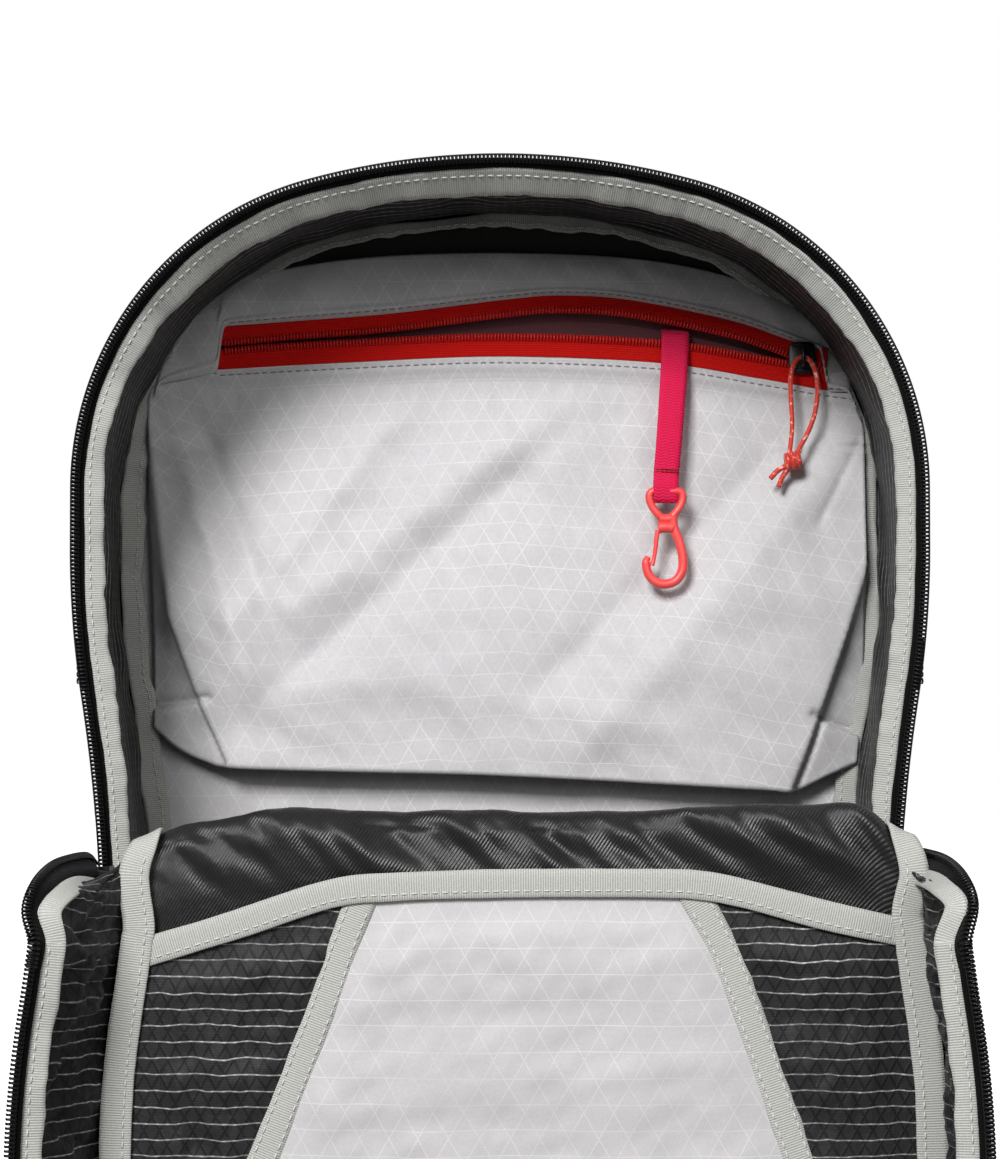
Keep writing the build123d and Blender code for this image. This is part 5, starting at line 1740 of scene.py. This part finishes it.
def shoulder_strap(name, side):
    path = smooth_path([(0, y, z) for y, z in STRAP_PATH], 96)
    tangent = unit(np.gradient(path, axis=0))
    normal = np.stack([0 * tangent[:, 0], -tangent[:, 2], tangent[:, 1]], 1)
    falling = np.arange(96) > 18
    z_plan = np.where(falling, path[:, 2], 490)
    inner, outer = strap_edge(STRAP_INNER, z_plan), strap_edge(STRAP_OUTER, z_plan)
    even = lambda v: np.convolve(np.pad(v, 3, "edge"), np.ones(7) / 7, "valid")
    inner, outer = even(inner), even(outer)
    angles = np.linspace(0, 2 * pi, 36, endpoint=False)
    a, b = filled_out(np.cos(angles), 0.45), filled_out(np.sin(angles), 0.8)
    end = smooth(np.minimum(np.arange(96) / 4, (95 - np.arange(96)) / 4) + 0.25)
    half = (outer - inner) / 2 * (0.9 + 0.1 * end)
    x = (inner + outer)[:, None] / 2 + half[:, None] * a[None]
    thick = (4.7 * (0.55 + 0.45 * end))[:, None] * b[None]
    rings = np.stack([side * x, path[:, 1:2] + normal[:, 1:2] * thick,
                      path[:, 2:3] + normal[:, 2:3] * thick], 2)
    body = f"strap_{name}"
    strap = inflate(skin(f"shoulder_pad_{name}", rings, PAD_CLOTH, close=True), 1.2, voxel=4.5)
    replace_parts(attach(strap, body), f"shoulder_strap_{name}")
    outward = normal * np.sign(normal[60, 1])
    edges = []
    for table_x, shift in ((inner, 0.2), (outer, -0.2)):
        edge = np.stack([side * (table_x + shift), path[:, 1], path[:, 2]], 1)[3:-2]
        edges.append(tube_mesh(laid_on(strap, edge), 1.7, 8))
    piping = new_object(f"strap_piping_{name}", *merged(edges), BLACK_BIND)
    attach(piping, body)
    middle = np.stack([side * (inner * 0.5 + outer * 0.5), path[:, 1], path[:, 2]], 1) + outward * 5.6
    web = loft(f"strap_webbing_{name}", middle[24:94], (1, 0, 0), 20, 1.4, BLACK_WEB)
    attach(web, body)
    bars = []
    for k in (28, 40, 52, 64, 76, 88):
        spot = middle[k] + outward[k] * 0.95
        bars += [([spot + (-8.5, 0, d), spot + (8.5, 0, d)], outward[k]) for d in (-1.0, 0.0, 1.0)]
    stitches(f"strap_tacks_{name}", bars, BLACK_THREAD, body, pitch=2.3)

    low, high = box(f"ladder_lock_{name}")
    lock_y, lock_z = (low[1] + high[1]) / 2, (low[2] + high[2]) / 2
    x_mid = side * 105
    run = [(x_mid, lock_y + 1.0, lock_z - 1.0), (x_mid, lock_y - 1.6, lock_z - 9.5), (x_mid, 121, 199),
           (x_mid, 112, 188), (x_mid, 101.5, 176), (x_mid, 96.2, 166)]
    lower = loft(f"lower_strap_{name}", smooth_path(run, 60), (1, 0, 0), 23.5, 1.5, BLACK_WEB)
    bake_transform(lower)
    tail = [(x_mid, lock_y + 2.0, lock_z + 6), (x_mid, lock_y + 4.2, lock_z - 6),
            (x_mid, lock_y + 5.5, lock_z - 24), (x_mid, lock_y + 5.0, lock_z - 42)]
    end_tail = loft(f"strap_tail_{name}", smooth_path(tail, 40), (1, 0, 0), 23, 1.4, BLACK_WEB)
    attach(end_tail, body)
    return lower


def hip_wing(name, side):
    centre, radius = (100.0, 194.0), 92.0
    degrees_at = np.linspace(-90, -12, 60)
    angles = np.radians(degrees_at)
    x, y = centre[0] + radius * np.cos(angles), centre[1] + radius * np.sin(angles)
    radial = np.stack([np.cos(angles), np.sin(angles)], 1)
    tip_y = y[-1] + 6
    half = np.minimum(43.0, 50 - (y - 92) / (tip_y - 92) * 26)
    end = smooth(np.minimum(np.arange(60) / 3 + 0.5, (59 - np.arange(60)) / 4 + 0.12))
    loop = np.linspace(0, 2 * pi, 40, endpoint=False)
    a, b = filled_out(np.cos(loop), 0.8), filled_out(np.sin(loop), 0.45)
    depth = (6.0 * (0.4 + 0.6 * end))[:, None] * a[None]
    tall = (half * (0.86 + 0.14 * end))[:, None] * b[None]
    rings = np.stack([side * (x[:, None] + radial[:, :1] * depth), y[:, None] + radial[:, 1:] * depth,
                      110 + tall], 2)
    body = f"wing_{name}"
    wing = inflate(skin(f"hip_pad_{name}", rings, PAD_CLOTH, close=True), 1.4, voxel=4.5)
    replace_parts(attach(wing, body), f"hip_wing_{name}")
    edge = [np.stack([side * x[1:-1], y[1:-1], 110 + k * half[1:-1] * 0.99], 1) for k in (-1, 1)]
    piping = new_object(f"hip_piping_{name}", *merged([tube_mesh(laid_on(wing, e), 1.8, 8) for e in edge]),
                        BLACK_BIND)
    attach(piping, body)
    out = 7.6
    route = np.stack([side * (x + radial[:, 0] * out), y + radial[:, 1] * out, 0 * x + 110], 1)[26:]
    tangent = unit(route[-1] - route[-2])
    route = np.concatenate([route, [route[-1] + tangent * k for k in (5, 10, 16)]])
    web = loft(f"hip_strap_{name}", smooth_path(route, 60), (0, 0, 1), 24, 1.5, BLACK_WEB)
    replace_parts(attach(web, body), f"hip_webbing_{name}")


def harness():
    lowers = [shoulder_strap(name, side) for name, side in SIDES]
    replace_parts(lowers[0], "lower_straps")
    for name, side in SIDES:
        hip_wing(name, side)
        low, high = box(f"sternum_web_{name}")
        y, z = (low[1] + high[1]) / 2, (low[2] + high[2]) / 2
        sag = np.linspace(0, 1, 50)
        path = np.stack([low[0] + (high[0] - low[0]) * sag, y + 0 * sag, z - 0.8 * np.sin(pi * sag)], 1)
        web = loft(f"sternum_strap_{name}", path, (0, 0, 1), high[2] - low[2] - 0.4, 1.4, BLACK_WEB)
        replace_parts(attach(web, f"sternum_{name}"), f"sternum_web_{name}")
    y = (box("haul_loop")[0][1] + box("haul_loop")[1][1]) / 2
    handle = smooth_path([(-26, y, 502), (-26.2, y, 514), (-25.6, y, 526), (-21, y, 536.5), (-12, y, 540.6),
                          (0, y, 541.2), (12, y, 540.6), (21, y, 536.5), (25.6, y, 526), (26.2, y, 514),
                          (26, y, 502)], 110)
    loop = loft("haul_handle", handle, (0, 1, 0), 18, 2.6, BLACK_WEB)
    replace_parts(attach(loop, "haul"), "haul_loop")
    ends = []
    for x in (-27.8, 27.8):
        ends += [([(x, y - 7, z), (x, y + 7, z)], (np.sign(x), 0, 0)) for z in (504, 507, 510)]
    stitches("haul_tacks", ends, BLACK_THREAD, "haul", pitch=2.3)


def side_straps():
    """Compression straps and ski loops on both sides."""
    made, loops, tacks = [], [], []
    for name, side in SIDES:
        for label, z in (("low", 100.0), ("high", 345.0)):
            ys = np.linspace(-9, 79, 60)
            swell = 2.3 * np.sin(pi * np.clip((ys - TAPE_REAR_Y) / (BACK_Y - TAPE_REAR_Y), 0, 1))
            lean = (half_width_at(z + 9) - half_width_at(z - 9)) / 18
            x = half_width_at(z) + 1.3 + swell + 0.35 * np.sin(ys / 9)
            across = (side * lean, 0, 1)
            web = loft(f"side_strap_{label}_{name}", np.stack([side * x, ys, 0 * ys + z], 1), across, 18, 1.5,
                       BLACK_WEB)
            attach(web, "pack")
            made.append(web)
            for end in (2, 4, 56, 58):
                spot = np.array((side * (x[end] + 0.95), ys[end], z))
                tacks.append(([spot - (0, 0, 7), spot + (0, 0, 7)], (side, 0, 0)))
        edge = half_width_at(62.0)
        route = [(0.9, -16), (6, -15.6), (12.5, -13), (16.8, -6), (17.8, 0), (16.8, 6), (12.5, 13), (6, 15.6),
                 (0.9, 16)]
        path = smooth_path([(side * (edge + a + 0.06 * b), 52, 62 + b) for a, b in route], 70)
        loops.append(loft(f"ski_loop_{name}", path, (0, 1, 0), 20, 1.6, BLACK_WEB))
        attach(loops[-1], "pack")
    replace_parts(made[0], "compression_straps")
    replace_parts(loops[0], "ski_loops")
    stitches("side_strap_tacks", tacks, BLACK_THREAD, "pack", pitch=2.3)


def hardware():
    """CAD pieces whose shape is right keep it, with softened edges and a moulded or cast finish."""
    finish = {
        "frame_sheet": (STIFF_SHEET, 0.3), "frame_stays": (ALUMINIUM, 0.3),
        "key_leash_anchor": (CORAL_PLASTIC, 0.1),
        "main_slider_left": (BLACK_METAL, 0.35), "main_slider_right": (BLACK_METAL, 0.35),
        "main_pull_left": (CORAL_PLASTIC, 0.35), "main_pull_right": (CORAL_PLASTIC, 0.35),
        "ladder_lock_left": (BLACK_PLASTIC, 0.7), "ladder_lock_right": (BLACK_PLASTIC, 0.7),
        "sternum_plug": (BLACK_PLASTIC, 0.5), "sternum_socket": (BLACK_PLASTIC, 0.8),
        "hip_plug": (BLACK_PLASTIC, 0.5), "hip_socket": (BLACK_PLASTIC, 0.8),
        "compression_buckles": (BLACK_PLASTIC, 0.8),
    }
    for node, (material, radius) in finish.items():
        obj = frame["nodes"][node]
        obj.data.materials.clear()
        obj.data.materials.append(material)
        bevel = obj.modifiers.new("edges", "BEVEL")
        bevel.width, bevel.segments, bevel.limit_method = radius * MM, 2, "ANGLE"
        bevel.angle_limit = radians(35)


lower_front()
back_side()
harness()
side_straps()
hardware()
